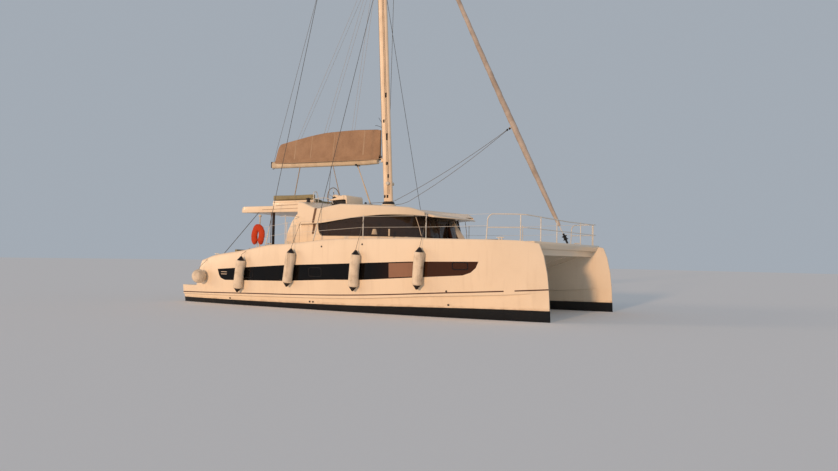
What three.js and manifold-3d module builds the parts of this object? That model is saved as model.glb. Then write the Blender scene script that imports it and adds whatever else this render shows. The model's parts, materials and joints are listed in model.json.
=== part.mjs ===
// A cruising sailing catamaran, afloat, with its headsail furled and its mainsail stowed in a bag.
// Millimetres. X points forward, Y to port, Z up. The origin is on the centreline at the waterline,
// amidships. The port side is the mirror of the starboard side.
import * as THREE from 'three';
import { mergeVertices } from 'three/addons/utils/BufferGeometryUtils.js';
import Module from 'manifold-3d';

const wasm = await Module();
wasm.setup();

// Driving dimensions of the hulls
const LENGTH = 12800;
const BOW_X = LENGTH / 2;
const STERN_X = -LENGTH / 2;
const HULL_Y = 2720; // centre plane of each hull
const KEEL_DEPTH = 1120;
const GAP = 0.4; // left between pieces that touch
const RUNNING_GAP = 6; // left around pieces that move

// Deck and floor levels
const PLATFORM_Z = 560;
const SOLE_Z = 1000;
const UNDERSIDE_Z = 750;
const FOREDECK_Z = 2090;
const WELL_Z = 1580;
const CEILING_Z = 2930;
const HARDTOP_Z = 3140;

// The deckhouse walls and the roof above them are superellipses in plan, around one centre
const HOUSE_CENTRE_X = -1600;
const HOUSE_AFT_X = -1750;
const HOUSE_LENGTH = 3530; // at the foredeck's level
const HOUSE_RAKE = 0.29; // how far the front leans aft for each unit of height above the foredeck
const HOUSE_BEAM = 2900;
const HOUSE_POWER = 2.75;
const WALL = 60;
const ROOF_LENGTH = 4150;
const ROOF_BEAM = 3020;
const ROOF_POWER = 2.1;

// Mast, boom and sails
const MAST_FOOT_X = -380;
const MAST_FOOT_Z = 3340;
const MAST_TOP_Z = 18300;
const MAST_RAKE = 0.0588; // how far the mast leans aft for each unit of height
const MAST_CHORD = 330;
const MAST_WIDTH = 190;
const SPREADER_TIP = [-1620, 1960, 11620];
const STAY_FOOT = [5810, 0, 2200];
const STAY_TOP_Z = 17270;
const BOOM_PIN_Z = 4850;
const BOOM_FRONT_X = -840;
const BOOM_END_X = -5480;

// Doors and hatches
const FRONT_DOOR_HALF = 330;
const FRONT_DOOR_GAP = 10;
const FRONT_DOOR_TOP_Z = 2760;
const HATCH_X = [-5020, -4080];
const HATCH_Y = [2320, 3080];

// Steering
const RUDDER_X = -5750;
const WHEEL_CENTRE = [-1690, -1300, 3520];
const WHEEL_RADIUS = 330;
const PROPELLER_X = -4700;
const SHAFT_Z = -740;

// Colours and finishes seen in the photograph
const FINISH = {
  gelcoat: new THREE.MeshStandardMaterial({ color: 0xe9dfcd, roughness: 0.25, metalness: 0 }),
  antifoul: new THREE.MeshStandardMaterial({ color: 0x1d1b1a, roughness: 0.8, metalness: 0 }),
  glazing: new THREE.MeshStandardMaterial({ color: 0x1a1512, roughness: 0.08, metalness: 0 }),
  spar: new THREE.MeshStandardMaterial({ color: 0xd9bf98, roughness: 0.4, metalness: 0.4 }),
  canvas: new THREE.MeshStandardMaterial({ color: 0x7d6653, roughness: 0.9, metalness: 0 }),
  cushion: new THREE.MeshStandardMaterial({ color: 0x8a7d5e, roughness: 0.9, metalness: 0 }),
  steel: new THREE.MeshStandardMaterial({ color: 0xb9b9b6, roughness: 0.25, metalness: 1 }),
  bronze: new THREE.MeshStandardMaterial({ color: 0x8c7346, roughness: 0.4, metalness: 1 }),
  wood: new THREE.MeshStandardMaterial({ color: 0x8b6038, roughness: 0.5, metalness: 0 }),
  fender: new THREE.MeshStandardMaterial({ color: 0xe8e4da, roughness: 0.45, metalness: 0 }),
  buoy: new THREE.MeshStandardMaterial({ color: 0xc8502a, roughness: 0.6, metalness: 0 }),
  engine: new THREE.MeshStandardMaterial({ color: 0x6d7478, roughness: 0.5, metalness: 0.5 }),
};

const boat = new THREE.Group();

// A closed geometry as a solid that can be joined and cut, with its faces turned outward
function solid(geometry) {
  const bare = geometry.clone();
  bare.deleteAttribute('normal');
  bare.deleteAttribute('uv');
  const merged = mergeVertices(bare, 1e-3);
  const vertProperties = new Float32Array(merged.attributes.position.array);
  const triVerts = new Uint32Array(merged.index.array);
  if (signedVolume(vertProperties, triVerts) < 0) {
    triVerts.reverse();
  }
  return new wasm.Manifold(new wasm.Mesh({ numProp: 3, vertProperties, triVerts }));
}

function signedVolume(points, corners) {
  let sum = 0;
  const a = new THREE.Vector3();
  const b = new THREE.Vector3();
  const c = new THREE.Vector3();
  for (let i = 0; i < corners.length; i += 3) {
    a.fromArray(points, 3 * corners[i]);
    b.fromArray(points, 3 * corners[i + 1]);
    c.fromArray(points, 3 * corners[i + 2]);
    sum += a.dot(b.cross(c));
  }
  return sum;
}

// Puts a finished solid into the boat as one named mesh
function place(name, body, material) {
  const { vertProperties, triVerts } = body.getMesh();
  const geometry = new THREE.BufferGeometry();
  geometry.setAttribute('position', new THREE.BufferAttribute(vertProperties, 3));
  geometry.setIndex(new THREE.BufferAttribute(triVerts, 1));
  geometry.computeVertexNormals();
  const mesh = new THREE.Mesh(geometry, material);
  mesh.name = name;
  boat.add(mesh);
}

// The same solid on the other side of the centreline
function mirrored(body) {
  const { vertProperties, triVerts } = body.getMesh();
  const flipped = new Float32Array(vertProperties);
  for (let i = 1; i < flipped.length; i += 3) {
    flipped[i] = -flipped[i];
  }
  return new wasm.Manifold(new wasm.Mesh({
    numProp: 3, vertProperties: flipped, triVerts: new Uint32Array(triVerts).reverse(),
  }));
}

// Places a starboard solid and its port mirror as two meshes
function placeBoth(name, body, material) {
  place(`${name}_starboard`, body, material);
  place(`${name}_port`, mirrored(body), material);
}

function joined(bodies) {
  return bodies.reduce((sum, body) => sum.add(body));
}

function box(x0, x1, y0, y1, z0, z1) {
  const geometry = new THREE.BoxGeometry(x1 - x0, y1 - y0, z1 - z0);
  geometry.translate((x0 + x1) / 2, (y0 + y1) / 2, (z0 + z1) / 2);
  return solid(geometry);
}

// A plan outline [x, y] raised from z0 to z1
function prismUp(outline, z0, z1) {
  const shape = new THREE.Shape(outline.map(([x, y]) => new THREE.Vector2(x, y)));
  const geometry = new THREE.ExtrudeGeometry(shape, { depth: z1 - z0, bevelEnabled: false });
  geometry.translate(0, 0, z0);
  return solid(geometry);
}

// A side-view outline [x, z] carried across from y0 to y1
function prismAcross(outline, y0, y1) {
  const shape = new THREE.Shape(outline.map(([x, z]) => new THREE.Vector2(x, z)));
  const geometry = new THREE.ExtrudeGeometry(shape, { depth: y1 - y0, bevelEnabled: false });
  geometry.rotateX(Math.PI / 2);
  geometry.translate(0, y1, 0);
  return solid(geometry);
}

// A straight round bar between two points, tapered if a second radius is given
function bar(from, to, radius, sides = 8, endRadius = radius) {
  const start = new THREE.Vector3(...from);
  const end = new THREE.Vector3(...to);
  const direction = end.clone().sub(start);
  const geometry = new THREE.CylinderGeometry(endRadius, radius, direction.length(), sides);
  const turn = new THREE.Quaternion();
  turn.setFromUnitVectors(new THREE.Vector3(0, 1, 0), direction.clone().normalize());
  geometry.applyQuaternion(turn);
  const middle = start.add(end).multiplyScalar(0.5);
  geometry.translate(middle.x, middle.y, middle.z);
  return solid(geometry);
}

function ball(centre, radius, sides = 10, rings = 6) {
  const geometry = new THREE.SphereGeometry(radius, sides, rings);
  geometry.rotateX(Math.PI / 2);
  geometry.translate(...centre);
  return solid(geometry);
}

// A bent pipe through a list of points, mitred at each inner point
function pipe(points, radius, sides = 6) {
  const path = points.map((point) => new THREE.Vector3(...point));
  const heading = path.slice(1).map((point, i) => point.clone().sub(path[i]).normalize());
  const across = new THREE.Vector3(0, 0, 1).cross(heading[0]);
  if (across.length() < 0.1) {
    across.set(1, 0, 0);
  }
  across.normalize();
  const upright = heading[0].clone().cross(across);
  let ring = [];
  for (let k = 0; k < sides; k += 1) {
    const angle = 2 * Math.PI * (k + 0.5) / sides;
    ring.push(path[0].clone()
      .addScaledVector(across, radius * Math.cos(angle))
      .addScaledVector(upright, radius * Math.sin(angle)));
  }
  const rings = [ring];
  for (let i = 1; i < path.length; i += 1) {
    const along = heading[i - 1];
    const plane = along.clone().add(heading[i] ?? along).normalize();
    ring = ring.map((corner) => {
      const reach = path[i].clone().sub(corner).dot(plane) / along.dot(plane);
      return corner.clone().addScaledVector(along, reach);
    });
    rings.push(ring);
  }
  return loft(rings.map((corners) => corners.map((corner) => corner.toArray())));
}

// A closed skin over a row of rings. In each ring, point i and point n-1-i face each other, and both
// end caps are strips of four-sided faces between such pairs.
function loft(rings) {
  const count = rings[0].length;
  const index = [];
  const face = (a, b, c, d) => {
    index.push(a, b, c, a, c, d);
  };
  for (let r = 0; r + 1 < rings.length; r += 1) {
    for (let i = 0; i < count; i += 1) {
      const next = (i + 1) % count;
      face(r * count + i, r * count + next, (r + 1) * count + next, (r + 1) * count + i);
    }
  }
  const last = (rings.length - 1) * count;
  for (let i = 0; i < count / 2 - 1; i += 1) {
    face(count - 1 - i, count - 2 - i, i + 1, i);
    face(last + i, last + i + 1, last + count - 2 - i, last + count - 1 - i);
  }
  const geometry = new THREE.BufferGeometry();
  geometry.setAttribute('position', new THREE.Float32BufferAttribute(rings.flat(2), 3));
  geometry.setIndex(index);
  return solid(geometry);
}

// Value at x of a table of [x, value] rows, read along straight lines
function lookUp(table, x) {
  const rising = table[0][0] < table[table.length - 1][0] ? table : [...table].reverse();
  if (x <= rising[0][0]) {
    return rising[0][1];
  }
  for (let i = 1; i < rising.length; i += 1) {
    if (x <= rising[i][0]) {
      const [x0, v0] = rising[i - 1];
      const [x1, v1] = rising[i];
      return v0 + (v1 - v0) * (x - x0) / (x1 - x0);
    }
  }
  return rising[rising.length - 1][1];
}

// The hull's lines in side view, as rows of [x, z]
const KEEL_LINE = [
  [6400, -230], [6000, -340], [5000, -440], [3200, -530], [0, -560],
  [-2000, -500], [-4000, -360], [-5750, -170], [-6400, -60],
];
const CHINE_LINE = [
  [6400, 775], [5300, 680], [3100, 560], [300, 390], [-3600, 310], [-6400, 265],
];
const SHEER_LINE = [
  [6400, 2020], [6000, 2085], [5600, 2105], [4200, 2120], [2300, 2130], [250, 2110],
  [-1800, 1950], [-2400, 1920], [-3600, 1730], [-4890, 1560], [-5430, 1410], [-6400, 1300],
];
// How far forward the stem stands at each height, as rows of [z, x]
const STEM_LINE = [
  [-340, 6120], [-230, 6260], [-100, 6360], [0, 6400], [280, 6390], [780, 6360],
  [1310, 6300], [1700, 6210], [2020, 6080],
];
const HULL_STATIONS = [
  6400, 6330, 6200, 5950, 5600, 5000, 4200, 3200, 1800, 0, -1800, -3200, -4400, -5300, -5900, -6400,
];

// One row for each line along the hull, from the keel to the deck edge: its height at a station,
// its greatest distance outboard and inboard of the centre plane, and the length and fullness of
// its curve behind the stem
const HULL_LINES = [
  { z: (k) => k.keel, outer: 60, inner: 60, entry: 2500, fullness: 2 },
  { z: (k) => 0.8 * k.keel, outer: 400, inner: 400, entry: 6500, fullness: 1.8 },
  { z: (k) => 0.42 * k.keel, outer: 560, inner: 560, entry: 6500, fullness: 1.8 },
  { z: () => 0, outer: 625, inner: 625, entry: 6500, fullness: 1.9 },
  { z: (k) => k.chine - 25, outer: 680, inner: 680, entry: 6000, fullness: 2 },
  { z: (k) => k.chine, outer: 745, inner: 745, entry: 5600, fullness: 2.1 },
  { z: (k) => k.chine + 0.35 * (k.sheer - k.chine), outer: 800, inner: 920, entry: 5000, fullness: 2.3 },
  { z: (k) => k.chine + 0.75 * (k.sheer - k.chine), outer: 815, inner: 920, entry: 4600, fullness: 2.5 },
  { z: (k) => k.sheer - 70, outer: 785, inner: 920, entry: 3600, fullness: 2.7 },
  { z: (k) => k.sheer, outer: 725, inner: 920, entry: 3600, fullness: 2.7 },
];
const STEM_HALF_WIDTH = 22;
const STERN_TAPER_X = -2500; // aft of this the outer side draws in
const STERN_TAPER = 0.28;
const RAKE_END_X = 3200; // behind this a station is upright

// The starboard hull's outer shape, grown or shrunk all round by a few millimetres
function hullShape(grow) {
  const rings = HULL_STATIONS.map((station) => {
    const heights = {
      keel: lookUp(KEEL_LINE, station),
      chine: lookUp(CHINE_LINE, station),
      sheer: lookUp(SHEER_LINE, station),
    };
    const behind = BOW_X - station;
    const rake = Math.max(0, (station - RAKE_END_X) / (BOW_X - RAKE_END_X));
    const aft = Math.max(0, (STERN_TAPER_X - station) / (STERN_TAPER_X - STERN_X));
    const points = HULL_LINES.map((line, row) => {
      const z = line.z(heights);
      const full = 1 - (1 - Math.min(behind / line.entry, 1)) ** line.fullness;
      const lift = row === 0 ? -grow : row === HULL_LINES.length - 1 ? grow : 0;
      const end = station === BOW_X ? grow : station === STERN_X ? -grow : 0;
      const x = station + rake * (lookUp(STEM_LINE, z) - BOW_X) + end;
      const outer = STEM_HALF_WIDTH + (line.outer * (1 - STERN_TAPER * aft ** 2) - STEM_HALF_WIDTH) * full;
      const inner = STEM_HALF_WIDTH + (line.inner - STEM_HALF_WIDTH) * full;
      return { x, z: z + lift, outer: -HULL_Y - outer - grow, inner: -HULL_Y + inner + grow };
    });
    const outside = points.map((p) => [p.x, p.outer, p.z]);
    const inside = points.map((p) => [p.x, p.inner, p.z]);
    return [...outside, ...inside.reverse()];
  });
  return loft(rings);
}

const hullGrown = hullShape(GAP);
const hullsGrown = hullGrown.add(mirrored(hullGrown));

// Plan of a superellipse from its starboard aft corner round the front to its port aft corner
function roundPlan(length, beam, power, inset = 0) {
  const STEPS = 14;
  const starboard = [[HOUSE_AFT_X, -(beam - inset)]];
  for (let i = 0; i < STEPS; i += 1) {
    const angle = (Math.PI / 2) * (1 - i / STEPS);
    const x = HOUSE_CENTRE_X + (length - inset) * Math.cos(angle) ** (2 / power);
    const y = -(beam - inset) * Math.sin(angle) ** (2 / power);
    starboard.push([x, y]);
  }
  const port = starboard.map(([x, y]) => [x, -y]).reverse();
  return [...starboard, [HOUSE_CENTRE_X + length - inset, 0], ...port];
}

// A ring with one point on the centreline gets that point twice, a hair apart, so that it pairs up
function splitNose(points) {
  const middle = (points.length - 1) / 2;
  const [x, , z] = points[middle];
  return [...points.slice(0, middle), [x, -2, z], [x, 2, z], ...points.slice(middle + 1)];
}

// The deckhouse as a solid between two heights; its front is upright below the foredeck's level and
// leans aft above it
function houseShape(inset, low, high) {
  const heights = [low, Math.max(low + 1, FOREDECK_Z), high];
  return loft(heights.map((z) => {
    const length = HOUSE_LENGTH - HOUSE_RAKE * Math.max(0, z - FOREDECK_Z);
    return splitNose(roundPlan(length, HOUSE_BEAM, HOUSE_POWER, inset).map(([x, y]) => [x, y, z]));
  }));
}

// The stern is cut down to a bathing platform, with the quarter's rounded corner above it
const QUARTER_CUT = [
  [-6500, PLATFORM_Z], [-5690, PLATFORM_Z], [-5668, 640], [-5455, 1340], [-5410, 1420], [-5340, 1475],
  [-5340, 2400], [-6500, 2400],
];
const STEP_Z = 780;
const STEP_AFT_X = -5700;
const SOLE_AFT_X = -5350;
const SIDE_DECK_AFT_X = -4000;
const BULWARK_Y = 3230;
const COCKPIT_SIDE_Y = 2350;
const COCKPIT_FRONT_X = -1750;
const PASSAGE_Y = 2450;
const BAY_X = [-5000, -4100];
const BAY_Y = [2345, 3055];
const BAY_FLOOR_Z = -50;
const HATCH_THICKNESS = 40;

// An anticlockwise outline drawn in by a distance, with each corner moved along its mitre
function insetOutline(outline, distance) {
  const count = outline.length;
  return outline.map(([x, y], i) => {
    const [px, py] = outline[(i + count - 1) % count];
    const [nx, ny] = outline[(i + 1) % count];
    const before = new THREE.Vector2(x - px, y - py).normalize();
    const after = new THREE.Vector2(nx - x, ny - y).normalize();
    const inward = new THREE.Vector2(-before.y - after.y, before.x + after.x).normalize();
    const reach = distance / Math.max(0.3, inward.x * -after.y + inward.y * after.x);
    return [x + inward.x * reach, y + inward.y * reach];
  });
}

// Side windows of the hulls: one long dark band set into the topside, as an outline of [x, z]
const BAND = [
  [-4640, 1120], [-4600, 960], [-4500, 840], [-4310, 775], [-1880, 820], [-80, 910], [1020, 940],
  [2650, 1050], [4160, 1150], [4390, 1230], [4540, 1370], [4600, 1525], [2640, 1490], [-90, 1370],
  [-1820, 1300],
];
const BAND_DEPTH = 20;
const BAND_RECESS = 8;

function makeHulls() {
  const cuts = [
    prismAcross(QUARTER_CUT, -4000, -1000),
    box(STEP_AFT_X, SOLE_AFT_X, -3050, -1700, STEP_Z, 3000),
    box(SOLE_AFT_X - 1, SIDE_DECK_AFT_X, -BULWARK_Y, -1700, SOLE_Z, 3000),
    box(SIDE_DECK_AFT_X - 1, COCKPIT_FRONT_X, -COCKPIT_SIDE_Y, -1700, SOLE_Z, 3000),
    box(COCKPIT_FRONT_X - 1, 900, -PASSAGE_Y, -1700, SOLE_Z, 3000),
    box(BAY_X[0], BAY_X[1], -BAY_Y[1], -BAY_Y[0], BAY_FLOOR_Z, SOLE_Z + 1),
    box(
      HATCH_X[0] - RUNNING_GAP, HATCH_X[1] + RUNNING_GAP, -HATCH_Y[1] - RUNNING_GAP,
      -HATCH_Y[0] + RUNNING_GAP, SOLE_Z - HATCH_THICKNESS - GAP, SOLE_Z + 1,
    ),
    bar([RUDDER_X, -HULL_Y, -400], [RUDDER_X, -HULL_Y, 350], 30.6, 16),
  ];
  const band = prismAcross(BAND, -3700, -3000);
  const recess = band.subtract(hullShape(-BAND_DEPTH));
  const hull = cuts.reduce((body, cut) => body.subtract(cut), hullShape(0)).subtract(recess);
  const pane = prismAcross(insetOutline(BAND, GAP), -3700, -3000)
    .intersect(hullShape(-BAND_RECESS))
    .subtract(hullShape(GAP - BAND_DEPTH));
  placeBoth('hull', hull, FINISH.gelcoat);
  placeBoth('hull_window', pane, FINISH.glazing);
}

// The bridge deck joins the hulls: cockpit sole aft, saloon floor, and a foredeck with a well
const BRIDGE_PROFILE = [
  [-5750, 850], [-5650, UNDERSIDE_Z], [2400, UNDERSIDE_Z], [4000, 1150], [5350, 1700], [5780, 1730],
  [5800, 1885], [5900, 1905], [5950, 2030], [5930, FOREDECK_Z], [1640, FOREDECK_Z], [1640, SOLE_Z],
  [-5750, SOLE_Z],
];
const WELL = { aft: 2000, front: 4300, side: 1450 };
const WELL_SEAT_Z = 1880;

function bridgeDeckShape() {
  const slab = prismAcross(BRIDGE_PROFILE, -HULL_Y, HULL_Y);
  const well = box(WELL.aft, WELL.front, -WELL.side, WELL.side, WELL_Z, 3000);
  const across = WELL.side + 1;
  const seat = box(WELL.front - 420, WELL.front + 1, -across, across, WELL_Z - 1, WELL_SEAT_Z);
  const half = FRONT_DOOR_HALF + FRONT_DOOR_GAP;
  const doorway = box(1600, WELL.aft + 1, -half, half, WELL_Z, 3000);
  return slab.subtract(well).add(seat).subtract(doorway).subtract(hullsGrown);
}

// Below the water: stub keels, saildrive legs with propellers, and spade rudders
function makeKeels() {
  // Rows of height, leading edge, trailing edge and half thickness
  const sections = [[-330, 1150, -1650, 115], [-KEEL_DEPTH, 850, -1450, 75]];
  const rings = sections.map(([z, front, back, half]) => foilRing(front, back, half, -HULL_Y, z));
  placeBoth('keel', loft(rings).subtract(hullGrown), FINISH.antifoul);
}

// A level foil section, round in front and sharp behind, paired side to side
function foilRing(front, back, half, centreY, z) {
  // Rows of distance behind the leading edge and width, as shares of the chord and half thickness
  const shares = [[0, 0.12], [0.03, 0.45], [0.12, 0.8], [0.32, 1], [0.6, 0.75], [0.85, 0.32], [1, 0.06]];
  const side = shares.map(([along, wide]) => [front + (back - front) * along, half * wide]);
  const starboard = side.map(([x, y]) => [x, centreY - y, z]);
  const port = side.map(([x, y]) => [x, centreY + y, z]).reverse();
  return [...starboard, ...port];
}

function makeSaildrives() {
  const legRings = [[-200, -4220, -4560, 60], [-640, -4260, -4500, 45], [SHAFT_Z, -4260, -4480, 45]]
    .map(([z, front, back, half]) => foilRing(front, back, half, -HULL_Y, z));
  const pod = bar([-4220, -HULL_Y, SHAFT_Z], [PROPELLER_X + 60, -HULL_Y, SHAFT_Z], 62, 12);
  const nose = ball([-4220, -HULL_Y, SHAFT_Z], 62, 12, 8);
  const skeg = loft([[SHAFT_Z, -4300, -4480, 22], [SHAFT_Z - 150, -4340, -4460, 14]]
    .map(([z, front, back, half]) => foilRing(front, back, half, -HULL_Y, z)));
  const shaft = bar([PROPELLER_X + 61, -HULL_Y, SHAFT_Z], [PROPELLER_X + 5, -HULL_Y, SHAFT_Z], 18, 12);
  const leg = joined([loft(legRings), pod, nose, skeg, shaft]).subtract(hullGrown);
  placeBoth('saildrive', leg, FINISH.antifoul);
}

function makePropellers() {
  const BLADES = 3;
  const RADIUS = 215;
  const hub = bar([PROPELLER_X, -HULL_Y, SHAFT_Z], [PROPELLER_X - 120, -HULL_Y, SHAFT_Z], 58, 14, 40);
  const sleeve = bar([PROPELLER_X + 48, -HULL_Y, SHAFT_Z], [PROPELLER_X - 1, -HULL_Y, SHAFT_Z], 45, 14);
  const bore = bar([PROPELLER_X + 60, -HULL_Y, SHAFT_Z], [PROPELLER_X + 4, -HULL_Y, SHAFT_Z], 18.5, 14);
  const blades = [];
  for (let i = 0; i < BLADES; i += 1) {
    // Rows of distance from the axis, width and twist of one blade
    const rings = [[30, 60, 0.9], [110, 110, 0.75], [RADIUS, 50, 0.5]].map(([r, width, twist]) => {
      const across = [[-1, -1], [-0.5, -1], [0.5, -1], [1, -1], [1, 1], [0.5, 1], [-0.5, 1], [-1, 1]];
      const thick = [3, 8, 8, 3, 3, 8, 8, 3];
      return across.map(([u, side], k) => {
        const along = u * width / 2;
        const off = side * thick[k] / 2;
        const x = along * Math.sin(twist) + off * Math.cos(twist);
        const y = along * Math.cos(twist) - off * Math.sin(twist);
        return [x, y, r];
      });
    });
    const geometry = loft(rings);
    const angle = 2 * Math.PI * i / BLADES;
    blades.push(turnedAboutX(geometry, angle, [PROPELLER_X - 60, -HULL_Y, SHAFT_Z]));
  }
  const propeller = joined([hub, sleeve, ...blades]).subtract(bore);
  placeBoth('propeller', propeller, FINISH.bronze);
}

// A solid turned about the X axis and then moved
function turnedAboutX(body, angle, offset) {
  const { vertProperties, triVerts } = body.getMesh();
  const geometry = new THREE.BufferGeometry();
  geometry.setAttribute('position', new THREE.BufferAttribute(new Float32Array(vertProperties), 3));
  geometry.setIndex(new THREE.BufferAttribute(new Uint32Array(triVerts), 1));
  geometry.rotateX(angle);
  geometry.translate(...offset);
  return solid(geometry);
}

function makeRudders() {
  const sections = [[-225, -5590, -6170, 42], [-1000, -5640, -6090, 26]];
  const blade = loft(sections.map(([z, front, back, half]) => foilRing(front, back, half, -HULL_Y, z)));
  const stock = bar([RUDDER_X, -HULL_Y, -600], [RUDDER_X, -HULL_Y, 340], 30, 16);
  placeBoth('rudder', blade.add(stock), FINISH.antifoul);
}

// Engine bays under the aft ends of the cockpit, each with a lid
function makeEngines() {
  const block = box(-4920, -4180, -HULL_Y - 250, -HULL_Y + 250, BAY_FLOOR_Z + GAP, 560);
  placeBoth('engine', block, FINISH.engine);
  const lid = box(HATCH_X[0], HATCH_X[1], -HATCH_Y[1], -HATCH_Y[0], SOLE_Z - HATCH_THICKNESS, SOLE_Z);
  placeBoth('engine_hatch', lid, FINISH.gelcoat);
}

// Deckhouse walls, one at each side and one across the front, with their windows cut through
const SILL_Z = 2220;
const GLASS_TOP_Z = 2860;
const WALL_SPLIT_Y = 1300;
const SIDE_GLASS_FRONT_Y = 1360;
const FRONT_GLASS_Y = [460, 1240];
const GLASS_FACES = [22, 34]; // how far the glass's two faces lie inside the walls' outer face
const SIDE_GLASS_AFT_X = -1040;
const FRONT_DOOR_X = [1670, 1712];
const BEYOND = 4000; // far enough past any wall for a cutting block

function makeDeckhouse(bridge) {
  const walls = houseShape(0, SOLE_Z, CEILING_Z).subtract(houseShape(WALL, SOLE_Z - 1, CEILING_Z + 1));
  const glassRing = houseShape(GLASS_FACES[0], SOLE_Z, CEILING_Z)
    .subtract(houseShape(GLASS_FACES[1], SOLE_Z - 1, CEILING_Z + 1));
  const sidePart = box(HOUSE_AFT_X - 1, BEYOND, -BEYOND, -WALL_SPLIT_Y, FOREDECK_Z - 190, CEILING_Z);
  // The side window's aft edge leans and has a rounded lower corner
  const edge = [
    [SIDE_GLASS_AFT_X, GLASS_TOP_Z], [-1030, 2450], [-980, 2300], [-880, SILL_Z], [BEYOND, SILL_Z],
    [BEYOND, GLASS_TOP_Z],
  ];
  const window = prismAcross(edge, -BEYOND, -SIDE_GLASS_FRONT_Y);
  const pane = prismAcross(insetOutline(edge, GAP), -BEYOND, -SIDE_GLASS_FRONT_Y - GAP);
  const side = walls.intersect(sidePart).subtract(window).subtract(bridge).subtract(hullsGrown);
  placeBoth('deckhouse_side', side, FINISH.gelcoat);
  placeBoth('side_glass', glassRing.intersect(pane), FINISH.glazing);

  const half = FRONT_DOOR_HALF + FRONT_DOOR_GAP;
  const lintelZ = FRONT_DOOR_TOP_Z + RUNNING_GAP;
  const frontPart = box(0, BEYOND, -WALL_SPLIT_Y + GAP, WALL_SPLIT_Y - GAP, FOREDECK_Z + GAP, CEILING_Z);
  const doorway = box(0, BEYOND, -half, half, WELL_Z, lintelZ);
  // The upright door stands in a recess of the leaning front, between two cheeks and under a lintel
  const cheek = half + WALL;
  const recess = box(FRONT_DOOR_X[0] - 30, BEYOND, -cheek, cheek, FOREDECK_Z + GAP, lintelZ + 40)
    .intersect(houseShape(WALL / 2, SOLE_Z, CEILING_Z));
  let front = walls.intersect(frontPart).add(recess).subtract(doorway);
  for (const hand of ['starboard', 'port']) {
    const [y0, y1] = hand === 'port' ? FRONT_GLASS_Y : [-FRONT_GLASS_Y[1], -FRONT_GLASS_Y[0]];
    front = front.subtract(box(0, BEYOND, y0, y1, SILL_Z, GLASS_TOP_Z));
    const opening = box(0, BEYOND, y0 + GAP, y1 - GAP, SILL_Z + GAP, GLASS_TOP_Z - GAP);
    place(`front_glass_${hand}`, glassRing.intersect(opening), FINISH.glazing);
  }
  place('deckhouse_front', front, FINISH.gelcoat);
}

// The roof over the saloon: a deep fascia all round and a crowned top
const FASCIA_FOOT = [
  [-1750, 2560], [-1040, 2580], [-230, 2690], [430, 2795], [1360, 2870], [2150, 2885], [2370, 2850],
  [2550, 2805],
];
const FASCIA_TOP = [
  [-1750, 3262], [-1600, 3250], [-1080, 3055], [-960, 3052], [-230, 3180], [930, 3140], [1680, 3130],
  [2180, 3040], [2370, 2985], [2500, 2925], [2550, 2850],
];
const CROWN_Z = 3345;
const CORNER = 60; // height of the rounding between fascia and top
const HELM_RISER_X = -1602; // the floor behind the wheel drops to the hardtop's level aft of this
// The roof's top surface, as rows of share of the plan's size and of the rise to the crown
const ROOF_RINGS = [[0.975, 0], [0.8, 0.22], [0.55, 0.6], [0.25, 1]];

// One ring of the roof at a share of the plan's size, with its height found from each point of the edge
function roofRing(share, height) {
  return splitNose(roundPlan(ROOF_LENGTH, ROOF_BEAM, ROOF_POWER).map(([x, y]) => (
    [HOUSE_AFT_X + (x - HOUSE_AFT_X) * share, y * share, height(x)]
  )));
}

function roofTop(lift) {
  return ROOF_RINGS.map(([share, rise]) => roofRing(share, (x) => {
    const edge = lookUp(FASCIA_TOP, x);
    return edge + (CROWN_Z - edge) * rise + lift;
  }));
}

function makeCoachroof() {
  const foot = (x) => lookUp(FASCIA_FOOT, x);
  const shoulder = (x) => lookUp(FASCIA_TOP, x) - Math.min(CORNER, (lookUp(FASCIA_TOP, x) - foot(x)) / 2);
  const underside = roofRing(0.9, (x) => foot(x) + 60);
  const shell = loft([underside, roofRing(1, foot), roofRing(1, shoulder), ...roofTop(0)]);
  const room = houseShape(-GAP, SOLE_Z, CEILING_Z + GAP);
  const mastStep = bar([MAST_FOOT_X, 0, CROWN_Z - 60], [MAST_FOOT_X, 0, MAST_FOOT_Z + 12 - GAP], 240, 16);
  const footwell = box(HOUSE_AFT_X - 1, HELM_RISER_X, -2400, 2400, HARDTOP_Z, BEYOND);
  // A notch in the edge above each front window
  const notch = box(1600, 2400, -1620, -1360, 2700, 2965);
  const cuts = [room, footwell, notch, mirrored(notch)];
  place('coachroof', cuts.reduce((body, cut) => body.subtract(cut), shell).add(mastStep), FINISH.gelcoat);
}

// The hardtop over the cockpit, with its posts and aft struts, and the raised seat base on it
const HARDTOP_AFT_X = -4450;
const HARDTOP_BEAM = 2850;
const HARDTOP_UNDER_Z = 2930;
const POST = { x: -3000, y: 2700, radius: 45 };
const STRUT_FOOT = [-4620, -3280, 1560];
const STRUT_HEAD = [-3550, -2780, 2960];

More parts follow.
